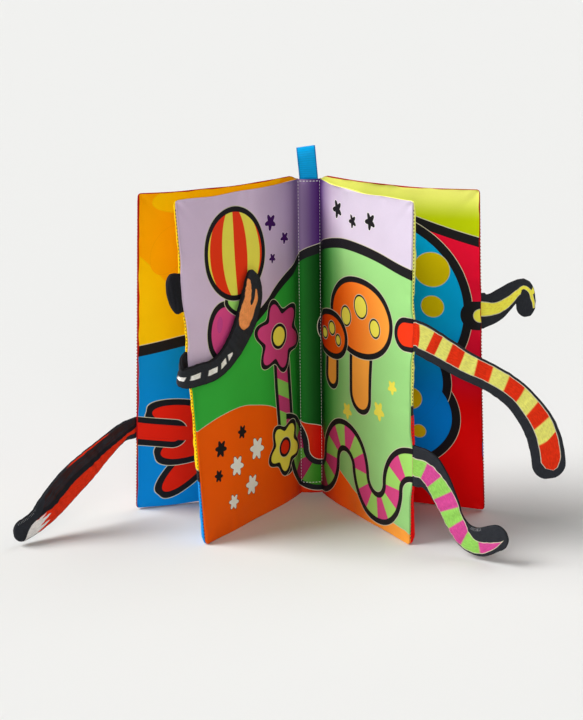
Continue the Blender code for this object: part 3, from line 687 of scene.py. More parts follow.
class Effects:
    """The node groups that the book's cloths share, built once."""

    def __init__(self):
        self.inked = effect("Inked shape", INKED + "Distance", "Colour", inked_colour)
        self.oval = self.shape("Printed oval", "Centre Radii Turn", oval_distance)
        self.bar = self.shape("Printed bar", "From To Half", bar_distance)
        self.petals = self.shape("Printed petals", "Centre Radius Petals Depth Turn",
                                 petal_distance)
        self.winding = effect("Winding band", INKED + "Cloth Start Level Radius Half Stripes Begin "
                              "End Second", "Colour", self.winding_colour)
        self.weave = effect("Woven cloth", "Cloth Pitch Crease Grain", "Height Shade Rough", woven)

    def shape(self, name, own, distance_of):
        """Return the group of one kind of printed shape, from what gives its distance."""
        def work(tree, given):
            return [self.over(tree, given, distance_of(tree, given), given["Fill"])]
        return effect(name, INKED + "Cloth " + own, "Colour", work)

    def over(self, tree, given, distance, fill):
        """Return what a group is given under its shape, with the shape over it."""
        values = {key: given[key] for key in INKED.split()}
        values.update(Distance=distance, Fill=fill)
        return tree.place(self.inked, values)["Colour"]

    def winding_colour(self, tree, given):
        """A winding band of stripes between two ends, half rings above and below a level."""
        x, y, _ = tree.split(given["Cloth"])
        radius, rise = given["Radius"], y - given["Level"]
        period = radius * 4.0
        along = x - given["Start"] - (rise < 0.0) * (radius * 2.0)
        local = along - tree.calc("ROUND", along / period) * period
        span = tree.calc("SQRT", local * local + rise * rise)
        angle = tree.calc("ARCTAN2", abs(rise), local)
        stripe = tree.calc("FRACT", angle / math.pi * given["Stripes"] * 0.5) > 0.5
        fill = tree.mix(stripe, given["Fill"], given["Second"])
        colour = self.over(tree, given, abs(span - radius) - given["Half"], fill)
        shown = (x > given["Begin"]) * (x < given["End"])
        return [tree.mix(shown, given["Under"], colour)]


class Picture:
    """A cloth's printed picture, laid down shape over shape on its own measure in metres."""

    def __init__(self, tree, effects, colours):
        self.tree, self.effects, self.colours = tree, effects, colours
        self.colour = None
        self.cloth = tree.add("UVMap", uv_map="cloth").outputs["UV"]
        self.across, self.up, _ = tree.split(self.cloth)

    def lay(self, kind, fill, line, edge=None, **own):
        """Lay one shape over the picture so far."""
        self.colour = self.tree.place(getattr(self.effects, kind), {
            "Under": self.colour, "Fill": fill, "Line": line, "Outline": self.colours.ink,
            "Edge": edge or self.colours.edge, **own})["Colour"]

    def oval(self, x, y, width, height, fill, line=0.0, turn=0.0, edge=None):
        """Print an ellipse by its middle and half sizes."""
        self.lay("oval", fill, line, edge, Cloth=self.cloth, Centre=(x, y, 0.0),
                 Radii=(width, height, 1.0), Turn=turn)

    def bar(self, start, end, half, fill, line=0.0, edge=None):
        """Print a round-ended bar."""
        self.lay("bar", fill, line, edge, Cloth=self.cloth, From=(*start, 0.0), To=(*end, 0.0),
                 Half=half)

    def petals(self, x, y, radius, count, depth, fill, line=0.0, turn=0.0, edge=None):
        """Print a flower or star."""
        self.lay("petals", fill, line, edge, Cloth=self.cloth, Centre=(x, y, 0.0), Radius=radius,
                 Petals=count, Depth=depth, Turn=turn)

    def level(self, points, fill, line=0.0):
        """Print all that lies below a line, given by points of it from left to right."""
        top = self.tree.profile(self.across, points, 0.0, 0.25, "CARDINAL")
        self.lay("inked", fill, line, Distance=self.up - top)

    def winding(self, start, level, radius, half, begin, end, first, second, line):
        """Print a winding band with six stripes to each half ring, between two ends."""
        self.lay("winding", first, line, Cloth=self.cloth, Second=second, Start=start, Level=level,
                 Radius=radius, Half=half, Stripes=6.0, Begin=begin, End=end)

    def flower(self, x, y, radius, fill, heart, line, petals):
        """Print a flower with an outlined heart."""
        self.petals(x, y, radius, petals, 0.20, fill, line, turn=0.3)
        self.oval(x, y, radius * 0.34, radius * 0.34, heart, line * 0.6)


# ------------------------------------------------------------------ prints
# painted shade in the gutter: the share by which each colour of the middle spread turns to its
# shaded colour across the spine and the pages' roots
GUTTER_SHADE_SHARES = ((-0.060, 0.0), (-0.026, 0.38), (-0.0098, 0.78), (-0.0050, 0.70), (0.0020, 0.92),
                (0.0080, 1.0), (0.0160, 0.90), (0.0230, 0.58), (0.0330, 0.20), (0.0500, 0.0))


def gores(picture, x, y, height, width):
    """Return a ball's stripes, upright and meeting above and below."""
    tree = picture.tree
    up = (picture.up - y) / height
    bow = tree.calc("SQRT", tree.calc("MAXIMUM", 1.0 - up * up, 0.03))
    turn = (picture.across - x) / (bow * width)
    stripe = tree.step(tree.calc("SINE", turn * math.pi), -0.06, 0.06)
    return tree.mix(stripe, picture.colours.lemon, picture.colours.scarlet)


def middle_spread(picture):
    """The spread in the middle: hills under a lavender sky, ball, toadstools, winding band."""
    tree, colours, across = picture.tree, picture.colours, picture.across
    # painted shade that darkens each colour towards the gutter
    shade_share = tree.profile(across, GUTTER_SHADE_SHARES, 0.0, 1.0)
    # painted light and sheen: the sky and the hill grow paler towards the right page's fore-edge
    right = tree.step(across, 0.012, 0.055)

    def into_gutter_shade(outer, deep):
        return tree.mix(shade_share, outer, deep)

    picture.colour = into_gutter_shade(tree.mix(right, colours.lavender, colours.sheen_lavender),
                               colours.gutter_shade_lavender)
    green = into_gutter_shade(tree.mix(right, colours.green, colours.sheen_green), colours.gutter_shade_green)
    # the ground also grows paler towards the right page's fore-edge: painted light and sheen
    orange = into_gutter_shade(tree.mix(tree.step(across, 0.03, 0.12), colours.orange,
                                colours.stalk_and_sheen_orange), colours.gutter_shade_orange)
    magenta = into_gutter_shade(colours.magenta, colours.gutter_shade_magenta)
    lime = into_gutter_shade(colours.lime, colours.gutter_shade_lime)
    scarlet = into_gutter_shade(colours.scarlet, colours.gutter_shade_orange)
    picture.level(((-0.135, 0.110), (-0.09, 0.124), (-0.045, 0.147), (-0.01, 0.169),
                   (0.012, 0.180), (0.045, 0.188), (0.09, 0.186), (0.135, 0.178)), green, 0.0068)
    picture.level(((-0.135, 0.077), (-0.10, 0.083), (-0.07, 0.082), (-0.04, 0.072),
                   (-0.01, 0.056), (0.01, 0.049), (0.03, 0.033), (0.055, 0.018),
                   (0.09, 0.011), (0.135, 0.007)), orange)
    # a plum with its leaf, and a striped ball above it
    picture.oval(-0.094, 0.138, 0.0140, 0.0170, magenta, 0.0040, turn=0.15)
    picture.oval(-0.099, 0.144, 0.0024, 0.0050, colours.tail_pink, edge=colours.tail_pink, turn=0.2)
    picture.oval(-0.080, 0.154, 0.0095, 0.0036, lime, 0.0030, turn=0.5)
    picture.oval(-0.078, 0.189, 0.027, 0.028, gores(picture, -0.078, 0.189, 0.032, 0.0125), 0.0036)
    # a striped pole with a flower at its head, by the gutter
    rings = tree.calc("FRACT", (across * 0.5 + picture.up) / 0.0230)
    pole = tree.mix(tree.step(abs(rings - 0.5), 0.24, 0.26), magenta, lime)
    picture.bar((-0.0290, 0.030), (-0.0340, 0.112), 0.0062, pole, 0.0034)
    picture.flower(-0.036, 0.124, 0.0200, magenta, colours.lemon, 0.0036, 6)
    # toadstools on the hill
    for x, y, size in ((0.070, 0.136, 1.0), (0.030, 0.120, 0.56)):
        picture.bar((x, y - 0.046 * size), (x + 0.003 * size, y), 0.0105 * size,
                    colours.stalk_and_sheen_orange, 0.0036)
        picture.oval(x, y + 0.008 * size, 0.037 * size, 0.024 * size, orange, 0.0040)
        for dx, dy, spot in ((-0.018, 0.006, 0.0060), (0.002, 0.016, 0.0072),
                             (0.019, 0.004, 0.0056)):
            picture.oval(x + dx * size, y + dy * size, spot * size, spot * size,
                         colours.lemon, 0.0012)
    # the winding band that runs out into the ringed tail, and the flower at its start
    picture.winding(0.1300, 0.0343, 0.0205, 0.0076, -0.030, 0.2, magenta, lime, 0.0040)
    picture.flower(-0.032, 0.042, 0.0150, colours.lemon, scarlet, 0.0034, 5)
    # the patch at the striped tail's root, and small stars
    picture.bar((0.124, 0.1425), (0.150, 0.1425), 0.0078, colours.scarlet, 0.0034)
    for count, depth, turn, fill, edge, *stars in (
            (5.0, 0.30, 0.5, colours.plum, colours.lavender, (-0.040, 0.205, 0.0046),
             (-0.026, 0.192, 0.0034), (-0.040, 0.180, 0.0028)),
            (5.0, 0.30, 0.5, colours.ink, colours.white, (0.040, 0.214, 0.0050),
             (0.062, 0.209, 0.0038), (0.084, 0.212, 0.0048)),
            (6.0, 0.25, 0.2, colours.ink, orange, (-0.106, 0.060, 0.0050),
             (-0.082, 0.066, 0.0040), (-0.110, 0.042, 0.0036)),
            (6.0, 0.25, 0.2, colours.white, colours.ink, (-0.090, 0.044, 0.0058),
             (-0.066, 0.050, 0.0066), (-0.074, 0.026, 0.0060), (-0.096, 0.020, 0.0044)),
            (5.0, 0.25, 0.2, colours.lemon, colours.lime, (0.052, 0.074, 0.0048),
             (0.094, 0.084, 0.0056), (0.110, 0.104, 0.0040))):
        for x, y, size in stars:
            picture.petals(x, y, size, count, depth, fill, turn=turn, edge=edge)
    return picture.colour


def turned_jacket(picture, side, outer, top):
    """Show the jacket along the outer and top seams of the cover on that side of the print."""
    tree, across = picture.tree, picture.across
    wander = tree.noise(picture.cloth, 60.0, 1.0) * 0.0022 - 0.0011
    seam = across * -side + (SPINE_HALF + LEAF_WIDTH - outer)
    head = PAGE_HEIGHT - top - picture.up + (across * side < 0.0)
    inward = tree.calc("MINIMUM", seam, head) + wander
    return tree.mix(tree.step(inward, 0.0002, -0.0001), picture.colour, picture.colours.jacket)


def left_spread(picture):
    """The spread behind the left page: a yellow sky over blue water, with a red spray of leaves."""
    colours = picture.colours
    picture.colour = colours.sunny
    # pale clouds on the left cover; the tall oval is painted light along the left page's back by
    # its fore-edge
    for x, y, width, height, turn in ((-0.150, 0.165, 0.070, 0.030, 0.7),
                                      (-0.070, 0.228, 0.050, 0.012, -0.1),
                                      (0.128, 0.150, 0.016, 0.110, 0.0)):
        picture.oval(x, y, width, height, colours.clouds_and_lit_edge, turn=turn,
                     edge=colours.clouds_and_lit_edge)
    picture.oval(-0.108, 0.190, 0.012, 0.018, colours.sunny, edge=colours.sunny, turn=0.5)
    picture.level(((-0.135, 0.115), (-0.10, 0.120), (-0.06, 0.123), (0.0, 0.124),
                   (0.06, 0.108), (0.10, 0.070), (0.135, 0.040)), colours.sky_blue, 0.0078)
    for x, y, width, height, turn in ((-0.092, 0.030, 0.026, 0.0085, -0.75),
                                      (-0.086, 0.048, 0.028, 0.0095, -0.25),
                                      (-0.094, 0.068, 0.026, 0.0080, 0.22)):
        picture.oval(x, y, width, height, colours.red, 0.0044, turn=turn)
    picture.bar((-0.150, 0.0640), (-0.104, 0.0560), 0.0060, colours.red, 0.0044)
    picture.bar((-0.150, 0.0640), (-0.090, 0.0545), 0.0048, colours.red, edge=colours.red)
    for x, y in ((0.03, 0.05), (0.07, 0.045), (0.10, 0.03), (0.06, 0.02)):
        picture.oval(x, y, 0.012, 0.006, colours.lime, 0.0022, turn=0.5)
    return turned_jacket(picture, -1, 0.0007, 0.0005)


def right_spread(picture):
    """The spread behind the right page: a dotted blue gourd before a crimson hill."""
    tree, colours, up = picture.tree, picture.colours, picture.up
    picture.colour = tree.mix(tree.step(up, 0.208, 0.231), colours.deep_lime_yellow,
                              colours.lime_yellow)
    picture.oval(-0.140, 0.165, 0.020, 0.078, colours.lime_yellow, edge=colours.lime_yellow)
    ground = tree.mix(tree.step(up, 0.075, 0.110), colours.cherry, colours.crimson)
    picture.level(((-0.135, 0.088), (-0.10, 0.100), (-0.05, 0.150), (0.0, 0.203),
                   (0.05, 0.208), (0.09, 0.202), (0.135, 0.190)), ground, 0.0066)
    water = tree.mix(tree.step(up, 0.07, 0.15), colours.sea_blue, colours.teal)
    for wider, fill, edge in ((0.0066, colours.ink, None), (0.0, water, water)):
        for x, y, width, height in ((0.046, 0.068, 0.062, 0.040), (0.053, 0.146, 0.065, 0.060),
                                    (0.046, 0.094, 0.056, 0.040)):
            picture.oval(x, y, width + wider, height + wider, fill, edge=edge)
    for x, y, size in ((0.096, 0.174, 0.0128), (0.096, 0.148, 0.0080), (0.068, 0.136, 0.0070),
                       (0.078, 0.080, 0.0085), (0.050, 0.165, 0.0085), (0.084, 0.056, 0.0050),
                       (0.040, 0.110, 0.0095), (0.045, 0.060, 0.0080)):
        picture.oval(x, y, size, size * 0.92, colours.mustard)
    picture.bar((0.1260, 0.1432), (0.160, 0.1432), 0.0096, colours.ink, edge=colours.ink)
    picture.bar((0.1300, 0.1432), (0.160, 0.1432), 0.0045, colours.tail_lemon)
    for x, y in ((-0.04, 0.04), (-0.08, 0.07), (-0.10, 0.03), (-0.06, 0.12)):
        picture.petals(x, y, 0.008, 5.0, 0.25, colours.lime_yellow, 0.002)
    return turned_jacket(picture, 1, 0.0002, 0.0005)


def jacket(picture):
    """The outside of the covers: dark red with a winding band and flowers."""
    colours = picture.colours
    picture.colour = colours.jacket
    for x, y, radius, fill in (
            (-0.072, 0.150, 0.030, colours.sky_blue), (0.072, 0.150, 0.030, colours.lime),
            (-0.100, 0.075, 0.012, colours.sunny), (-0.040, 0.085, 0.012, colours.lime),
            (0.100, 0.075, 0.012, colours.sunny), (0.040, 0.085, 0.012, colours.sky_blue)):
        picture.flower(x, y, radius, fill, colours.white, 0.003, 6)
    picture.winding(0.0, 0.030, 0.0165, 0.005, -1.0, 1.0, colours.sunny, colours.sky_blue, 0.003)
    return picture.colour


def tail_layout(tree):
    """Return a point's share of a tail's length, and of its half width."""
    along, share, _ = tree.split(tree.add("UVMap", uv_map="layout").outputs["UV"])
    return along, share


def beyond(tree, share, low, high):
    """Return how far a point lies below one share or above another, below zero between them."""
    return tree.calc("MAXIMUM", share - high, low - share)


def bordered(picture, share, low, high, colour):
    """Return a colour between dark borders that begin below one share and above another."""
    tree, colours = picture.tree, picture.colours
    out = beyond(tree, share, low, high)
    colour = tree.mix(tree.step(out, -0.055, -0.035), colour, colours.edge)
    return tree.mix(tree.step(out, -0.012, 0.012), colour, colours.charcoal)


def stripes(tree, run, first, second):
    """Return cross stripes in two colours, the second one about each whole number of a run."""
    part = abs(tree.calc("FRACT", run) - 0.5)
    return tree.mix(tree.step(part, 0.22, 0.28), first, second)


def brush_print(picture):
    """Dark brown above black above red, with white streaks near the tip and a black end."""
    tree, colours = picture.tree, picture.colours
    along, share = tail_layout(tree)
    red = tree.profile(along, ((0.0, 0.05), (0.06, -0.20), (0.14, -0.34), (0.28, -0.20),
                               (0.5, -0.10), (0.7, -0.10), (0.84, 0.25), (1.0, 0.4)),
                       between="CARDINAL")
    # painted sheen: streaks of brown and darker brown along the tail
    sheen_streaks = tree.noise(tree.vector("MULTIPLY", picture.cloth, (90.0, 700.0, 0.0)), 1.0, 2.0)
    brown = tree.mix(tree.step(sheen_streaks, 0.30, 0.75), colours.charcoal, colours.brown)
    colour = tree.mix(tree.step(share - red, 0.30, 0.42), colours.ink, brown)
    colour = tree.mix(tree.step(red - share, -0.02, 0.02), colour, colours.tail_red)
    streak = share * 0.08 + tree.calc("SINE", share * 17.0) * 0.035
    white = tree.step(along + streak, 0.755, 0.765) * tree.step(red - share, 0.02, 0.06)
    colour = tree.mix(white, colour, colours.white)
    low = tree.profile(along, ((0.0, -0.42), (0.05, -0.50), (0.12, -0.86), (0.25, -0.94),
                               (1.0, -0.92)))
    high = tree.profile(along, ((0.0, 0.90), (0.70, 0.92), (0.76, 0.40), (0.84, 0.22),
                                (0.90, -0.05), (0.945, -0.9), (1.0, -1.0)), between="CARDINAL")
    out = beyond(tree, share, low, high)
    colour = tree.mix(tree.step(out, -0.012, 0.012), colour, colours.charcoal)
    rim = tree.step(along, 0.16, 0.22) * tree.step(along, 0.52, 0.46)
    return tree.mix(tree.step(share, 0.90, 0.94) * rim, colour, colours.tail_red)


def striped_print(picture):
    """Red and yellow cross stripes between black borders, the lower one broad, and a red end."""
    tree, colours = picture.tree, picture.colours
    along, share = tail_layout(tree)
    run = tree.profile(along, ((0.0, -0.45), (0.045, 0.0), (0.139, 1.0), (0.278, 2.0),
                               (0.438, 3.0), (0.606, 4.0), (0.771, 5.0), (1.0, 6.3)), -1.0, 7.0)
    colour = stripes(tree, share * 0.10 + run, colours.tail_red, colours.tail_yellow)
    colour = tree.mix(tree.step(share * 0.045 + along, 0.815, 0.820), colour, colours.tail_red)
    low = tree.profile(along, ((0.0, -0.62), (0.08, -0.50), (0.5, -0.36), (0.78, -0.44),
                               (0.91, -0.50), (0.945, -0.25), (0.958, 0.25), (0.964, 0.9)))
    high = tree.profile(along, ((0.0, 0.86), (0.7, 0.84), (0.9, 0.72), (0.945, 0.50),
                                (0.958, 0.25), (0.964, -0.9)))
    return bordered(picture, share, low, high, colour)


def ringed_print(picture):
    """Lime and pink rings between black borders, with a black end and a last pink streak."""
    tree, colours = picture.tree, picture.colours
    along, share = tail_layout(tree)
    colour = stripes(tree, (along + 0.074) / 0.222, colours.tail_lime, colours.tail_pink)
    colour = tree.mix(tree.step(along, 0.815, 0.820), colour, colours.tail_pink)
    low = tree.profile(along, ((0.0, -0.50), (0.08, -0.48), (0.2, -0.70), (0.32, -0.88),
                               (0.6, -0.92), (0.78, -0.76), (0.90, -0.62), (0.97, -0.30)),
                       between="CARDINAL")
    high = tree.profile(along, ((0.0, 0.42), (0.12, 0.48), (0.25, 0.70), (0.38, 0.93),
                                (0.56, 0.93), (0.64, 0.62), (0.72, 0.25), (0.84, -0.10),
                                (0.92, -0.28), (0.97, -0.32)), between="CARDINAL")
    return bordered(picture, share, low, high, colour)


def banded_print(picture):
    """Charcoal with a yellow band, which forks over the bend."""
    tree, colours = picture.tree, picture.colours
    along, share = tail_layout(tree)
    high = tree.profile(along, ((0.0, 0.54), (0.14, 0.39), (0.31, 0.06), (0.46, 0.02),
                                (0.58, 0.05), (0.68, 0.62), (0.81, 0.90), (1.0, 0.95)),
                        between="CARDINAL")
    low = tree.profile(along, ((0.0, -0.31), (0.14, -0.52), (0.31, -0.72), (0.46, -0.62),
                               (0.57, -0.70), (0.68, 0.10), (0.80, 0.56), (1.0, 0.80)),
                       between="CARDINAL")
    colour = bordered(picture, share, low, high, colours.tail_lemon)
    arm = tree.step(abs(along - (share * -0.05 + 0.715)), 0.026, 0.018)
    arm = arm * tree.step(share, 0.45, 0.49) * tree.step(share, 0.97, 0.92)
    colour = tree.mix(arm, colour, colours.tail_lemon)
    return tree.mix(tree.step(along, 0.885, 0.895), colour, colours.charcoal)


DASHES = ((0.096, 0.118), (0.150, 0.222), (0.290, 0.360), (0.396, 0.444), (0.470, 0.506))
DASH_END = 0.003


def curled_print(picture):
    """Charcoal with a row of white dashes, and a notched orange patch near the end."""
    tree, colours = picture.tree, picture.colours
    along, share = tail_layout(tree)
    picture.colour = colours.charcoal
    for x, y, width, height, fill in (
            (0.0950, 0.0028, 0.0130, 0.0064, colours.tail_orange),
            (0.1065, 0.0050, 0.0130, 0.0032, colours.tail_orange),
            (0.1030, -0.0012, 0.0082, 0.0026, colours.tail_orange),
            (0.1115, 0.0014, 0.0105, 0.0015, colours.charcoal)):
        picture.oval(x, y, width, height, fill, edge=fill)
    slanted = share * -0.020 + along
    points = [(0.0, 0.0)]
    for start, end in DASHES:
        points += [(start - DASH_END, 0.0), (start, 1.0), (end, 1.0), (end + DASH_END, 0.0)]
    row = tree.profile(slanted, points + [(1.0, 0.0)], 0.0, 1.0)
    tall = tree.profile(slanted, ((0.0, 0.18), (0.15, 0.20), (0.30, 0.24), (0.44, 0.24),
                                  (0.47, 0.26), (0.51, 0.05), (1.0, 0.1)))
    row = row * tree.step(abs(share) - tall, 0.03, -0.01)
    colour = tree.mix(row, picture.colour, colours.white)
    return tree.mix(tree.step(abs(share), 0.86, 0.92), colour, colours.ink)


def ribbon_print(picture):
    """Light blue with darker selvedges and fine cross ribs."""
    tree, colours = picture.tree, picture.colours
    rib = tree.calc("SINE", picture.up * (2 * math.pi / 0.0016))
    colour = tree.mix(rib * 0.12 + 0.12, colours.ribbon, colours.ribbon_edge)
    edge = tree.step(abs(picture.across), 0.0052, 0.0063)
    return tree.mix(edge, colour, colours.ribbon_edge)


# ------------------------------------------------------------------ materials
def new_material(name, specular=None):
    """Return a new material, its tree and its shader's inputs."""
    material = bpy.data.materials.new(name)
    material.use_nodes = True
    shader = material.node_tree.nodes["Principled BSDF"].inputs
    if specular is not None:
        shader["Specular IOR Level"].default_value = specular
    return material, Tree(material.node_tree), shader


def shaded(tree, colour, shade):
    """Return a colour, lighter and darker by a shade."""
    grey = tree.add("CombineColor", {0: shade, 1: shade, 2: shade}).outputs[0]
    return tree.mix(1.0, colour, grey, "MULTIPLY")


def cloth_material(name, effects, colours, print_of, pitch=0.0005, crease=7.0, depth=0.0001,
                   grain=0.05, roughness=None):
    """Return a woven cloth's material; print_of gives its print, or is its plain colour."""
    material, tree, shader = new_material(name, 0.06)
    picture = Picture(tree, effects, colours)
    weave = tree.place(effects.weave, {"Cloth": picture.cloth, "Pitch": pitch, "Crease": crease,
                                       "Grain": grain})
    printed = print_of(picture) if callable(print_of) else print_of
    bump = tree.add("Bump", {"Strength": 0.5, "Distance": depth, "Height": weave["Height"]})
    tree.feed(shader["Base Color"], shaded(tree, printed, weave["Shade"]))
    tree.feed(shader["Roughness"], weave["Rough"] if roughness is None else roughness)
    tree.feed(shader["Normal"], bump.outputs[0])
    return material


def thread_material(name, colour):
    """Return the material of sewing thread, with a fine twist."""
    material, tree, shader = new_material(name)
    twist = tree.noise(tree.add("TexCoord").outputs["Object"], 2400.0, 1.0)
    bump = tree.add("Bump", {"Strength": 0.4, "Distance": 0.00008, "Height": twist})
    tree.feed(shader["Base Color"], shaded(tree, colour, twist * 0.3 + 0.82))
    tree.feed(shader["Normal"], bump.outputs[0])
    tree.feed(shader["Roughness"], 0.55)
    return material


# ------------------------------------------------------------------ leaves
def leaf_grids(leaf, pucker):
    """Return a leaf's two cloths as grids of points, their places on the print, what is held."""
    columns = np.concatenate([-SEAM_HALF * np.array([0.85, 0.6, 0.3]),
                              stations(0.0, LEAF_WIDTH, LEAF_STEP), [LEAF_WIDTH + 1]])
    rows = np.concatenate([[-1], stations(0.0, PAGE_HEIGHT, LEAF_STEP), [PAGE_HEIGHT + 1]])
    height, across = np.meshgrid(rows, columns, indexing="ij")
    turned_in = (height < 0) | (height > PAGE_HEIGHT) | (across > LEAF_WIDTH)
    depth = GROOVE_DEPTH * turned_in
    height = np.clip(height, depth, PAGE_HEIGHT - depth)
    across = np.minimum(across, LEAF_WIDTH - depth)
    drawn_across, drawn_height = drawn_outline(across, height)
    wave = uneven_wave(across, HEAD_WAVES, leaf.seed + 3)
    loose = 1 - np.exp(-np.maximum(across, 0) / 0.02)
    drawn_height += HEAD_WAVE * wave * loose * np.exp(-(PAGE_HEIGHT - height) / HEAD_REACH)
    if leaf.layer > 0:
        lifted = level_rise(across, 0.006) * np.exp(-(across / 0.055) ** 2)
        drawn_height += COVER_HEAD_RISE * lifted * (height / PAGE_HEIGHT) ** 4
    hem = COVER_HEM if leaf.layer > 0 else PAGE_HEM
    drawn_height += hem * (1 + wave) / 2 * loose * np.exp(-height / FOOT_REACH)
    middle, reading = leaf_place(leaf, drawn_across, drawn_height)
    middle = middle + reading * seam_shift(leaf, across, height)[..., None]
    grids = []
    for face in (1, -1):
        half = pad_half(leaf, face, across, height) + leaf_puckers(
            leaf, face, across, height, pucker)
        half = np.where(turned_in, GROOVE_HALF, half)
        grids.append(middle + reading * (face * half)[..., None])
    place = np.stack([SPINE_HALF + across, height], axis=-1)
    held = turned_in | (across < HELD_ROOT) | (across > LEAF_WIDTH - HELD_STRIP)
    held |= (height < HELD_STRIP) | (height > PAGE_HEIGHT - HELD_STRIP)
    return grids, place, held


def build_leaf(leaf, sizes, materials):
    """Add a leaf's pad: its two cloths and the filling between them."""
    (front, back), place, held = leaf_grids(leaf, sizes.pucker)
    page = leaf.layer < 0
    fabrics = [f"{leaf.name}_{side}_fabric"
               for side in (("front", "back") if page else ("inner", "outer"))]
    reading = place * np.array([leaf.side, 1.0])
    behind = place * np.array([-leaf.side if page else leaf.side, 1.0])
    piece = add_piece(leaf.name + "_pad", pad_mesh(front, back, (reading, behind)), leaf.name,
                      materials, (*fabrics, leaf.name + "_foam"))
    inflate(piece, np.concatenate([held.reshape(-1)] * 2), sizes.looseness, LEAF_SWELL)


def leaf_stitches(leaf, sizes, material):
    """Add the seam's threads along a leaf's fore-edge, between its two cloths."""
    threads = []
    for k in range(2, int(PAGE_HEIGHT / sizes.stitch_pitch) - 1):
        height = k * sizes.stitch_pitch
        if near_tails(leaf, np.array(LEAF_WIDTH), np.array(height), 0.55) > 0.3:
            continue
        ends = []
        for z in (height, height + sizes.stitch_length * 0.7):
            across, up = drawn_outline(np.array(LEAF_WIDTH), np.array(z))
            point, reading = leaf_place(leaf, across + 0.00005, up)
            ends.append(point + reading * seam_shift(leaf, across, up))
        threads.append(ends)
    add_piece(leaf.name + "_seam_threads", thread_mesh(threads, sizes.thread * 1.3), leaf.name,
              [material])


# ------------------------------------------------------------------ spine
SPINE_MARGIN = 0.0006
SPINE_SEAM = SPINE_HALF - SPINE_MARGIN
SPINE_SHARES = np.array([0.16, 0.33, 0.5, 0.66, 0.78, 0.86, 0.92, 0.97, 1.0])
SPINE_STITCHES = SPINE_SEAM * 0.99
SPINE_HEAD_STITCH, SPINE_HEAD_DIP = 0.0015, 0.0008
SPINE_FOOT_STITCH, SPINE_FOOT_DIP = 0.0082, 0.0012
SPINE_SIDE_DIP = 0.0006
SPINE_END_SUNK, SPINE_SIDE_SUNK = 0.00045, 0.00025
SPINE_WAVE, SPINE_WAVES = 0.00018, (0.041, 0.023)
SPINE_ROUNDING = 0.0022
THREAD_END_SUNK, THREAD_SIDE_SUNK = 0.00036, 0.00022


def spine_half(x):
    """Return half the spine's depth at x, least at its two seams."""
    return SPINE_EDGE_HALF + (SPINE_MIDDLE_HALF - SPINE_EDGE_HALF) * (1 - (x / SPINE_SEAM) ** 2)


def build_spine(materials):
    """Add the spine's pad: the printed gutter strip and the jacket behind it."""
    columns = SPINE_SEAM * np.concatenate([-SPINE_SHARES[::-1], [0.0], SPINE_SHARES])
    rows = np.concatenate([[SPINE_MARGIN], stations(0.0002, PAGE_HEIGHT - 0.0002, SPINE_STEP),
                           [PAGE_HEIGHT - SPINE_MARGIN]])
    height, x = np.meshgrid(rows, columns, indexing="ij")
    stitched = np.exp(-((height - SPINE_FOOT_STITCH) / SPINE_FOOT_DIP) ** 2) + np.exp(
        -((height - PAGE_HEIGHT + SPINE_HEAD_STITCH) / SPINE_HEAD_DIP) ** 2)
    side = np.exp(-((np.abs(x) - SPINE_STITCHES) / SPINE_SIDE_DIP) ** 2)
    half = spine_half(x) - SPINE_END_SUNK * stitched - SPINE_SIDE_SUNK * side
    middle = 1 - (x / SPINE_SEAM) ** 2
    half = half + SPINE_WAVE * uneven_wave(height, SPINE_WAVES, 3) * middle
    rounding = quarter_round(np.minimum(height, PAGE_HEIGHT - height), SPINE_ROUNDING)
    half = half * (0.35 + 0.65 * rounding)
    half[[0, -1], :] = GROOVE_HALF
    front, back = (np.stack([x, face * half, height], axis=-1) for face in (-1, 1))
    place = np.stack([x, height], axis=-1)
    piece = add_piece("spine_pad", pad_mesh(front, back, (place, place)), "spine", materials,
                      ("spine_front_fabric", "spine_foam", "spine_back_fabric"))


def spine_threads(sizes, material):
    """Add the spine's stitches: a line down each side and across each end, front and back."""
    threads = []
    for face in (-1, 1):
        def on(x, z, sunk):
            return (x, face * (float(spine_half(np.array(x))) - sunk), z)
        for x in (-SPINE_STITCHES, SPINE_STITCHES):
            for k in range(int((PAGE_HEIGHT - SPINE_FOOT_STITCH) / sizes.stitch_pitch)):
                z = 0.0088 + k * sizes.stitch_pitch
                threads.append((on(x, z, THREAD_SIDE_SUNK),
                                on(x, z + sizes.stitch_length, THREAD_SIDE_SUNK)))
        for z in (SPINE_FOOT_STITCH, PAGE_HEIGHT - SPINE_HEAD_STITCH):
            for k in range(6):
                x = -SPINE_STITCHES + 0.0011 + k * sizes.stitch_pitch
                threads.append((on(x, z, THREAD_END_SUNK),
                                on(x + sizes.stitch_length, z, THREAD_END_SUNK)))
    add_piece("spine_threads", thread_mesh(threads, sizes.thread * 1.25), "spine", [material])


# ------------------------------------------------------------------ ribbon
RIBBON_ROOT = -0.0012
RIBBON_STEPS = 56
RIBBON_SHARES = np.array([-1.0, -0.96, -0.8, -0.4, 0.0, 0.4, 0.8, 0.96, 1.0])
RIBBON_THINNING = np.array([0.25, 0.8, 1.0, 1.0, 1.0, 1.0, 1.0, 0.8, 0.25])


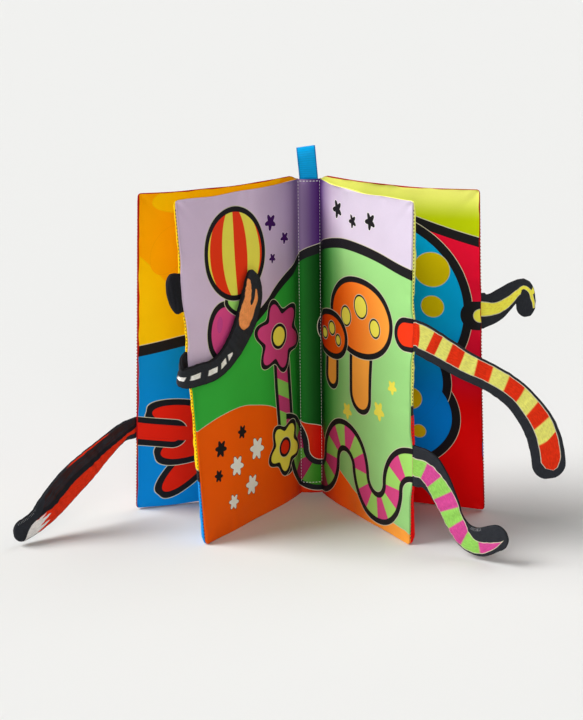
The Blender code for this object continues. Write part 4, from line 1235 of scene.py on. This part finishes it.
def build_ribbon(sizes, material, thread):
    """Add the ribbon loop, folded over with both ends in the spine's head."""
    crest = RIBBON_HEIGHT - RIBBON_AXIS_HEIGHT - RIBBON_THICKNESS / 2
    belly = (RIBBON_DEPTH / 2 - RIBBON_THICKNESS / 2) / TEARDROP_PEAK_SHARE
    neck = CLEARANCE / 2 + RIBBON_THICKNESS / 2
    turn = np.linspace(0, 2 * math.pi, RIBBON_STEPS + 1)
    swell = np.sin(turn) * np.sin(turn / 2) ** TEARDROP_POWER
    depth = belly * swell + neck * np.cos(turn / 2)
    rise = RIBBON_NECK + (crest - RIBBON_NECK) * (1 - np.cos(turn)) / 2
    depth = np.concatenate([depth[:1], depth, depth[-1:]])[:, None]
    rise = np.concatenate([[RIBBON_ROOT], rise, [RIBBON_ROOT]])[:, None]
    along = np.hstack([np.gradient(depth, axis=0), np.gradient(rise, axis=0)])
    along /= np.linalg.norm(along, axis=1)[:, None]
    cupped = 0.00035 * (RIBBON_SHARES ** 2 - 0.4) * np.sin(np.clip(rise / crest, 0, 1) * math.pi)
    cupped = cupped + 0.00012 * np.sin(rise / 0.0021 + 1.0) * RIBBON_SHARES
    axis = PAGE_HEIGHT + RIBBON_AXIS_HEIGHT
    skins = []
    for face in (1, -1):
        off = face * RIBBON_THICKNESS / 2 * RIBBON_THINNING
        y = depth + along[:, 1:2] * off + cupped
        z = rise - along[:, 0:1] * off
        x = RIBBON_SHARES * RIBBON_WIDTH / 2 - math.tan(RIBBON_LEAN) * np.maximum(z, 0.0)
        z = axis + z * (1 + RIBBON_SHARES * RIBBON_SKEW_SHARE / 2)
        skins.append(np.stack([x, y, z], axis=-1))
    steps = np.hypot(np.diff(depth[:, 0]), np.diff(rise[:, 0]))
    length = np.concatenate([[0.0], np.cumsum(steps)])
    place = np.stack(np.broadcast_arrays(RIBBON_SHARES * RIBBON_WIDTH / 2, length[:, None]),
                     axis=-1)
    mesh = pad_mesh(*skins, (place, place))
    mesh.polygons.foreach_set("material_index", np.zeros(len(mesh.polygons), np.int32))
    piece = add_piece("ribbon", mesh, "ribbon_loop", [material], ("ribbon_loop",))
    threads = []
    for face in (-1, 1):
        y, z = face * (neck + RIBBON_THICKNESS / 2 + 0.00005), axis + RIBBON_NECK + 0.0016
        for k in range(5):
            x = -0.0047 + k * sizes.stitch_pitch
            threads.append(((x, y, z), (x + sizes.stitch_length, y, z)))
    add_piece("ribbon_threads", thread_mesh(threads, sizes.thread), "ribbon_loop", [thread])


# ------------------------------------------------------------------ tails
ROUTE_SAMPLES = 24
ROOT_STATIONS = np.array([-2.4, -1.2, 0.0, 0.8, 1.6, 2.4]) * SEAM_HALF
TIP_SHARES = np.array([1.0, 0.86, 0.72, 0.58, 0.45, 0.33, 0.22, 0.13, 0.06, 0.02])
SHORT_TAIL = 0.02
TAIL_WAVES, TAIL_EDGE_WAVES = (0.0121, 0.0083, 0.0061), (0.0127, 0.0083, 0.0057)
TAIL_EDGE_WAVE, TAIL_TURNED_IN = 0.0002, 0.0006
BEND_RADIUS, BEND_GATHERS, SHORT_GATHERS = 0.02, 0.0052, 0.00052
WAVE_SHARE, GATHER_SHARE = 0.45, 0.8
FREE_ROOT, FREE_TIP = 0.006, 0.004


def tail_pivot(tail, rise=0.0):
    """Return a point of the line that a tail turns about."""
    height = tail.height + rise
    leaf = LEAVES[tail.leaf]
    return leaf_place(leaf, np.array(drawn_edge(height) + TAIL_AXIS_GAP), np.array(height))[0]


def tail_placer(tail):
    """Return the function that puts a tail's own along, up and lift into the world."""
    leaf = LEAVES[tail.leaf]
    if tail.heading is None:
        def on_page(local):
            height = tail.height + local[..., 1]
            across = drawn_edge(height) + TAIL_AXIS_GAP + local[..., 0]
            point, reading = leaf_place(leaf, across, height)
            return point + reading * local[..., 2:3]
        return on_page
    root = tail_pivot(tail)
    axis = tail_pivot(tail, tail.width / 4) - tail_pivot(tail, -tail.width / 4)
    axis /= np.linalg.norm(axis)
    heading = math.radians(tail.heading)
    onward = np.array([math.cos(heading), math.sin(heading), 0.0])
    facing = leaf.side * np.cross(onward, axis)

    def in_plane(local):
        return root + (local[..., None] * np.array([onward, axis, facing])).sum(axis=-2)
    return in_plane


def tail_curve(tail):
    """Read a smooth curve through a tail's route: lengths, and a row of values at each."""
    route = []
    for (along, rise), fold, width in zip(tail.route_shares, tail.fold_shares,
                                          tail.width_shares):
        turned = math.pi * fold
        lift = tail.lift * (1 - math.cos(turned)) / 2
        route.append((along * tail.reach, rise * tail.reach, lift, width * tail.width, turned))
    route = np.array(route)
    padded = np.vstack([2 * route[0] - route[1], route, 2 * route[-1] - route[-2]])
    curve = []
    for i in range(len(route) - 1):
        p0, p1, p2, p3 = padded[i:i + 4]
        for step in range(ROUTE_SAMPLES):
            t = step / ROUTE_SAMPLES
            curve.append((2 * p1 + (p2 - p0) * t + (2 * p0 - 5 * p1 + 4 * p2 - p3) * t ** 2
                          + (3 * p1 - p0 - 3 * p2 + p3) * t ** 3) / 2)
    curve = np.array(curve + [route[-1]])
    steps = np.linalg.norm(np.diff(curve[:, :3], axis=0), axis=1)
    length = np.concatenate([[0.0], np.cumsum(steps)])
    tangents = np.gradient(curve[:, :3], length, axis=0)
    tangents /= np.linalg.norm(tangents, axis=1)[:, None]
    folds = curve[:, 4]
    normals = np.stack([-np.sin(folds), np.zeros(len(folds)), np.cos(folds)], axis=1)
    ways = np.cross(normals, tangents)
    ways /= np.linalg.norm(ways, axis=1)[:, None]
    return length, np.hstack([curve, tangents, ways])


def tail_grids(tail, seed, pucker):
    """Return a tail's two cloths as grids of points, with each point's place and share."""
    length, table = tail_curve(tail)
    total = length[-1]
    tip = total - tail.tip * TIP_SHARES
    parts = max(int((tip[0] - ROOT_STATIONS[-1]) / TAIL_STEP), 2) + 1
    middle = np.linspace(ROOT_STATIONS[-1], tip[0], parts)[1:-1]
    rows = np.concatenate([ROOT_STATIONS, middle, tip])
    at = np.maximum(rows, 0.0)
    values = np.stack([np.interp(at, length, column) for column in table.T], axis=-1)
    centre, width, tangent, way = values[:, 0:3], values[:, 3], values[:, 5:8], values[:, 8:11]
    # the first part leaves the seam squarely
    squared = (1 - level_rise(rows, tail.taper))[:, None]
    tangent = tangent + (np.array([1.0, 0.0, 0.0]) - tangent) * squared
    way = way + (np.array([0.0, 1.0, 0.0]) - way) * squared
    tangent /= np.linalg.norm(tangent, axis=1)[:, None]
    way /= np.linalg.norm(way, axis=1)[:, None]
    bend = np.gradient(np.unwrap(np.arctan2(table[:, 6], table[:, 5])), length)
    bend = np.interp(at, length, bend)[:, None]
    lifting = np.cross(tangent, way)
    centre = centre + tangent * np.minimum(rows, 0.0)[:, None]
    narrowed = quarter_round(total - rows, tail.tip)
    fullness = quarter_round(rows, tail.taper) * narrowed
    half_width = width / 2 * narrowed
    turn = np.linspace(-math.pi / 2, math.pi / 2, 15)
    shares = np.concatenate([[-1.0], np.sin(turn), [1.0]])
    bulge = np.concatenate([[0.0], np.cos(turn), [0.0]])
    seam = np.zeros(len(shares), bool)
    seam[[0, -1]] = True
    ripple = uneven_wave(rows, TAIL_EDGE_WAVES, seed)
    edge = 1 + TAIL_EDGE_WAVE * ripple / np.maximum(half_width, 0.002)
    reach = shares * (half_width * edge)[:, None] - np.sign(shares) * seam * TAIL_TURNED_IN
    along = rows[:, None] + 0 * shares
    # gathers along the inside of each bend, and close ones all over a short tail
    inner = np.clip(-np.sign(bend) * shares, 0, 1) * np.clip(np.abs(bend) * BEND_RADIUS, 0, 1)
    folds = inner * np.sin(2 * math.pi * rows / BEND_GATHERS + seed)[:, None]
    if tail.reach < SHORT_TAIL:
        folds = folds + np.sin(along / SHORT_GATHERS + shares * 0.8 + seed)
    placer = tail_placer(tail)
    grids = []
    for face in (1, -1):
        wave = uneven_wave(rows, TAIL_WAVES, seed + face)[:, None]
        gathers = pucker * bulge * (WAVE_SHARE * wave + GATHER_SHARE * folds)
        half = SEAM_HALF + ((tail.thickness / 2 - SEAM_HALF) * bulge + gathers
                            ) * fullness[:, None]
        half = np.where(along < 0, SEAM_HALF * 0.7, half)
        half = np.where(seam, GROOVE_HALF, half)
        half[-1, :] = GROOVE_HALF
        grids.append(placer(centre[:, None, :] + way[:, None, :] * reach[..., None]
                            + lifting[:, None, :] * (face * half)[..., None]))
    place = np.stack([along, reach], axis=-1)
    layout = np.stack([along / total, shares + 0 * along], axis=-1)
    free = bulge * level_rise(rows, FREE_ROOT)[:, None]
    free = free * level_rise(total - rows, FREE_TIP)[:, None]
    return grids, place, layout, free, total


def build_tail(tail, seed, sizes, materials, gathered=None):
    """Add one stuffed tail: its two cloths, the wadding between them, and its tip's stitches."""
    (upper, lower), place, layout, free, total = tail_grids(tail, seed, sizes.pucker)
    front, back = (lower, upper) if tail.lift else (upper, lower)
    fabrics = (tail.name + "_front_fabric", tail.name + "_back_fabric")
    piece = add_piece(tail.name + "_pad", pad_mesh(front, back, (place, place), (layout, layout)),
                      tail.name, materials[:2], (*fabrics, tail.name + "_wadding"))
    free = np.concatenate([free.reshape(-1)] * 2)
    inflate(piece, free < 0.02, sizes.looseness * 2, CURLED_SWELL if tail.lift else TAIL_SWELL,
            free[:, None])
    if not gathered:
        return
    # small stitches that gather the tail's neck, across its upper edge
    along, threads = place[:, 0, 0], []
    for at in np.arange(gathered[0] * total, gathered[1] * total, sizes.stitch_pitch * 0.62):
        threads.append([np.array([np.interp(at, along, upper[:, column, k]) for k in range(3)])
                        for column in (-5, -3)])
    add_piece(tail.name + "_tip_threads", thread_mesh(threads, sizes.thread * 0.8), tail.name,
              materials[2:])


# ------------------------------------------------------------------ stage
CAMERA_TARGET = Vector((-0.0136, -0.06, 0.1152))
CAMERA_TILT, CAMERA_ROLL = math.radians(14.33), math.radians(-0.76)
CAMERA_DISTANCE = 1.058
CAMERA_LENS = 78.16
FLOOR_REACH = 30.0
SUN_SIZE = math.radians(40.0)


def add_sun(name, towards, strength):
    """Add a broad soft sun that shines from a direction."""
    lamp = bpy.data.lights.new(name, "SUN")
    lamp.energy = strength
    lamp.angle = SUN_SIZE
    sun = linked(name, lamp)
    sun.rotation_mode = "QUATERNION"
    sun.rotation_quaternion = Vector(towards).to_track_quat("Z", "Y")


def build_camera():
    """Add the camera at the photograph's place."""
    back = Vector((0.0, -math.cos(CAMERA_TILT), math.sin(CAMERA_TILT)))
    right = (-back).cross(Vector((0.0, 0.0, 1.0))).normalized()
    up = right.cross(-back)
    turned_right = right * math.cos(CAMERA_ROLL) + up * math.sin(CAMERA_ROLL)
    turned_up = -right * math.sin(CAMERA_ROLL) + up * math.cos(CAMERA_ROLL)
    lens = bpy.data.cameras.new("camera")
    lens.sensor_width = 36.0
    lens.lens = CAMERA_LENS
    camera = linked("camera", lens)
    camera.matrix_world = Matrix.Translation(CAMERA_TARGET + back * CAMERA_DISTANCE) @ Matrix(
        (turned_right, turned_up, back)).transposed().to_4x4()
    bpy.context.scene.camera = camera


def build_stage(settings):
    """Add the floor, the lights, the world and the camera."""
    mesh = bpy.data.meshes.new("floor")
    mesh.from_pydata([(x * FLOOR_REACH, y * FLOOR_REACH, 0)
                      for x, y in ((-1, -1), (1, -1), (1, 1), (-1, 1))], [], [(0, 1, 2, 3)])
    material, tree, shader = new_material("floor", 0.1)
    tree.feed(shader["Base Color"], (*settings.floor, 1.0))
    tree.feed(shader["Roughness"], 0.9)
    mesh.materials.append(material)
    floor = linked("floor", mesh)
    world = bpy.data.worlds.new("studio")
    bpy.context.scene.world = world
    world.use_nodes = True
    tree = Tree(world.node_tree)
    back = world.node_tree.nodes["Background"]
    tree.feed(back.inputs["Color"], (1.0, 1.0, 1.0, 1.0))
    tree.feed(back.inputs["Strength"], settings.fill)
    # what the camera sees past the floor has the floor's own colour
    seen = tree.add("Background", {"Color": (*settings.floor, 1.0), "Strength": 1.0})
    rays = tree.add("LightPath").outputs
    ray = tree.calc("MAXIMUM", rays["Is Camera Ray"], rays["Is Glossy Ray"])
    ray = tree.calc("MAXIMUM", ray, rays["Is Transmission Ray"])
    mixed = tree.add("MixShader", {0: ray, 1: back.outputs[0], 2: seen.outputs[0]})
    tree.feed(world.node_tree.nodes["World Output"].inputs["Surface"], mixed.outputs[0])
    add_sun("window", (-0.75, 0.0, 0.66), settings.key)
    add_sun("front", (0.0, -0.95, 0.30), settings.front)
    add_sun("behind", (0.40, 0.36, 0.84), settings.behind)
    bpy.context.scene.view_settings.view_transform = "Standard"
    build_camera()


# ------------------------------------------------------------------ add-on
def length(label, text, default, low, high):
    """Return the property of one length."""
    return FloatProperty(name=label, description=text, default=default, min=low, max=high,
                         precision=5, unit="LENGTH")


def strength(label, source, default):
    """Return the property of one light's strength."""
    return FloatProperty(name=label, description=f"Strength of the {source}", default=default,
                         min=0.0)


class ClothBookSizes(bpy.types.PropertyGroup):
    """Sizes of the sewing that a user would change."""

    pucker: length("Puckers", "How far the cloth stands up beside its seams", 0.0008, 0.0, 0.002)
    looseness: FloatProperty(
        name="Looseness", description="Share by which the cloth is larger than its filling",
        default=0.02, min=0.0, max=0.1, subtype="FACTOR")
    thread: length("Thread", "Radius of the sewing thread", 0.00022, 0.0001, 0.001)
    stitch_pitch: length("Stitch pitch", "Distance from one stitch to the next",
                         0.0023, 0.001, 0.01)
    stitch_length: length("Stitch length", "Length of thread that shows in each stitch",
                          0.0015, 0.0005, 0.008)


class ClothBookLight(bpy.types.PropertyGroup):
    """The floor and the light around the book."""

    floor: FloatVectorProperty(
        name="Floor", description="Colour of the floor and the backdrop", subtype="COLOR",
        size=3, min=0.0, max=1.0, default=(0.83, 0.83, 0.815))
    fill: strength("Fill", "even light from all sides", 0.06)
    key: strength("Window", "soft light from the left", 3.4)
    front: strength("Front", "low light from the front", 1.05)
    behind: strength("Behind", "high light from behind", 0.65)


class CLOTHBOOK_OT_spine(bpy.types.Operator):
    """Sew the spine with its printed strip and stitches"""

    bl_idname = "clothbook.spine"
    bl_label = "Spine"

    def execute(self, context):
        cloths, sizes = book_cloths(), context.scene.cloth_book_sizes
        build_spine([cloths["middle_spread"], cloths["jacket"]])
        spine_threads(sizes, cloths["thread"])
        return {"FINISHED"}


class CLOTHBOOK_OT_ribbon(bpy.types.Operator):
    """Fold the ribbon loop and stitch it into the spine's head"""

    bl_idname = "clothbook.ribbon"
    bl_label = "Ribbon loop"

    def execute(self, context):
        cloths, sizes = book_cloths(), context.scene.cloth_book_sizes
        build_ribbon(sizes, cloths["ribbon"], cloths["thread"])
        return {"FINISHED"}


class CLOTHBOOK_OT_leaves(bpy.types.Operator):
    """Sew and stuff the two pages and the two covers"""

    bl_idname = "clothbook.leaves"
    bl_label = "Pages and covers"

    def execute(self, context):
        cloths, sizes = book_cloths(), context.scene.cloth_book_sizes
        for leaf in LEAVES.values():
            spread = cloths["left_spread" if leaf.side < 0 else "right_spread"]
            page = leaf.layer < 0
            pair = [cloths["middle_spread"], spread] if page else [spread, cloths["jacket"]]
            build_leaf(leaf, sizes, pair)
            leaf_stitches(leaf, sizes, cloths["dark_thread" if page else "jacket_thread"])
        return {"FINISHED"}


class CLOTHBOOK_OT_tails(bpy.types.Operator):
    """Sew and stuff the six tails, and stitch the two puckered tips"""

    bl_idname = "clothbook.tails"
    bl_label = "Tails"

    def execute(self, context):
        cloths, sizes = book_cloths(), context.scene.cloth_book_sizes
        gathered = {"brush_tail": (0.80, 0.97), "ringed_tail": (0.66, 0.82)}
        for seed, tail in enumerate(TAILS.values(), 11):
            used = [cloths[name] for name in (tail.name, "tail_back", "grey_thread")]
            build_tail(tail, seed, sizes, used, gathered.get(tail.name))
        return {"FINISHED"}


class CLOTHBOOK_OT_stage(bpy.types.Operator):
    """Set up the floor, the lights and the camera"""

    bl_idname = "clothbook.stage"
    bl_label = "Stage"

    def execute(self, context):
        build_stage(context.scene.cloth_book_light)
        return {"FINISHED"}


class CLOTHBOOK_PT_panel(bpy.types.Panel):
    """Lists the book's pieces in the sidebar"""

    bl_label = "Cloth book"
    bl_idname = "CLOTHBOOK_PT_panel"
    bl_space_type = "VIEW_3D"
    bl_region_type = "UI"
    bl_category = "Cloth book"

    def draw(self, context):
        for operator in OPERATORS:
            self.layout.operator(operator.bl_idname)
        for setting in SETTINGS:
            group = getattr(context.scene, setting)
            for name in group.bl_rna.properties.keys():
                if name not in ("rna_type", "name"):
                    self.layout.prop(group, name)


OPERATORS = (CLOTHBOOK_OT_spine, CLOTHBOOK_OT_ribbon, CLOTHBOOK_OT_leaves, CLOTHBOOK_OT_tails,
             CLOTHBOOK_OT_stage)
SETTINGS = {"cloth_book_sizes": ClothBookSizes, "cloth_book_light": ClothBookLight,
            "cloth_book_colours": ClothBookColours}
CLASSES = (*SETTINGS.values(), *OPERATORS, CLOTHBOOK_PT_panel)
CLOTHS = {}


def book_cloths():
    """Return the cloths and threads that the pieces share, made when first asked for."""
    if CLOTHS:
        return CLOTHS
    effects = Effects()
    colours = bpy.context.scene.cloth_book_colours
    for print_of in (middle_spread, left_spread, right_spread, jacket):
        name = print_of.__name__
        CLOTHS[name] = cloth_material(name, effects, colours, print_of)
    tails = {"brush_tail": brush_print, "stub_tail": colours.stub, "curled_tail": curled_print,
             "striped_tail": striped_print, "ringed_tail": ringed_print,
             "banded_tail": banded_print, "tail_back": colours.stub}
    for name, print_of in tails.items():
        CLOTHS[name] = cloth_material(name, effects, colours, print_of, 0.0006, 1.5, 0.0003,
                                      grain=0.60, roughness=0.58)
    CLOTHS["ribbon"] = cloth_material("ribbon", effects, colours, ribbon_print, 0.0008, 1.0,
                                      0.0002, grain=0.25, roughness=0.34)
    threads = {"thread": colours.thread, "dark_thread": colours.dark_thread,
               "jacket_thread": colours.jacket, "grey_thread": colours.grey_thread}
    for name, colour_of in threads.items():
        CLOTHS[name] = thread_material(name, colour_of)
    return CLOTHS


def register():
    """Register the classes and the book's settings."""
    for thing in CLASSES:
        bpy.utils.register_class(thing)
    for name, group in SETTINGS.items():
        setattr(bpy.types.Scene, name, PointerProperty(type=group))


def unregister():
    """Remove the settings and the classes."""
    for name in SETTINGS:
        delattr(bpy.types.Scene, name)
    for thing in reversed(CLASSES):
        bpy.utils.unregister_class(thing)


def main():
    """Build the book and its stage."""
    register()
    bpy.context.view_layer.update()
    for operator in OPERATORS:
        group, name = operator.bl_idname.split(".")
        getattr(getattr(bpy.ops, group), name)()


if __name__ == "__main__":
    main()
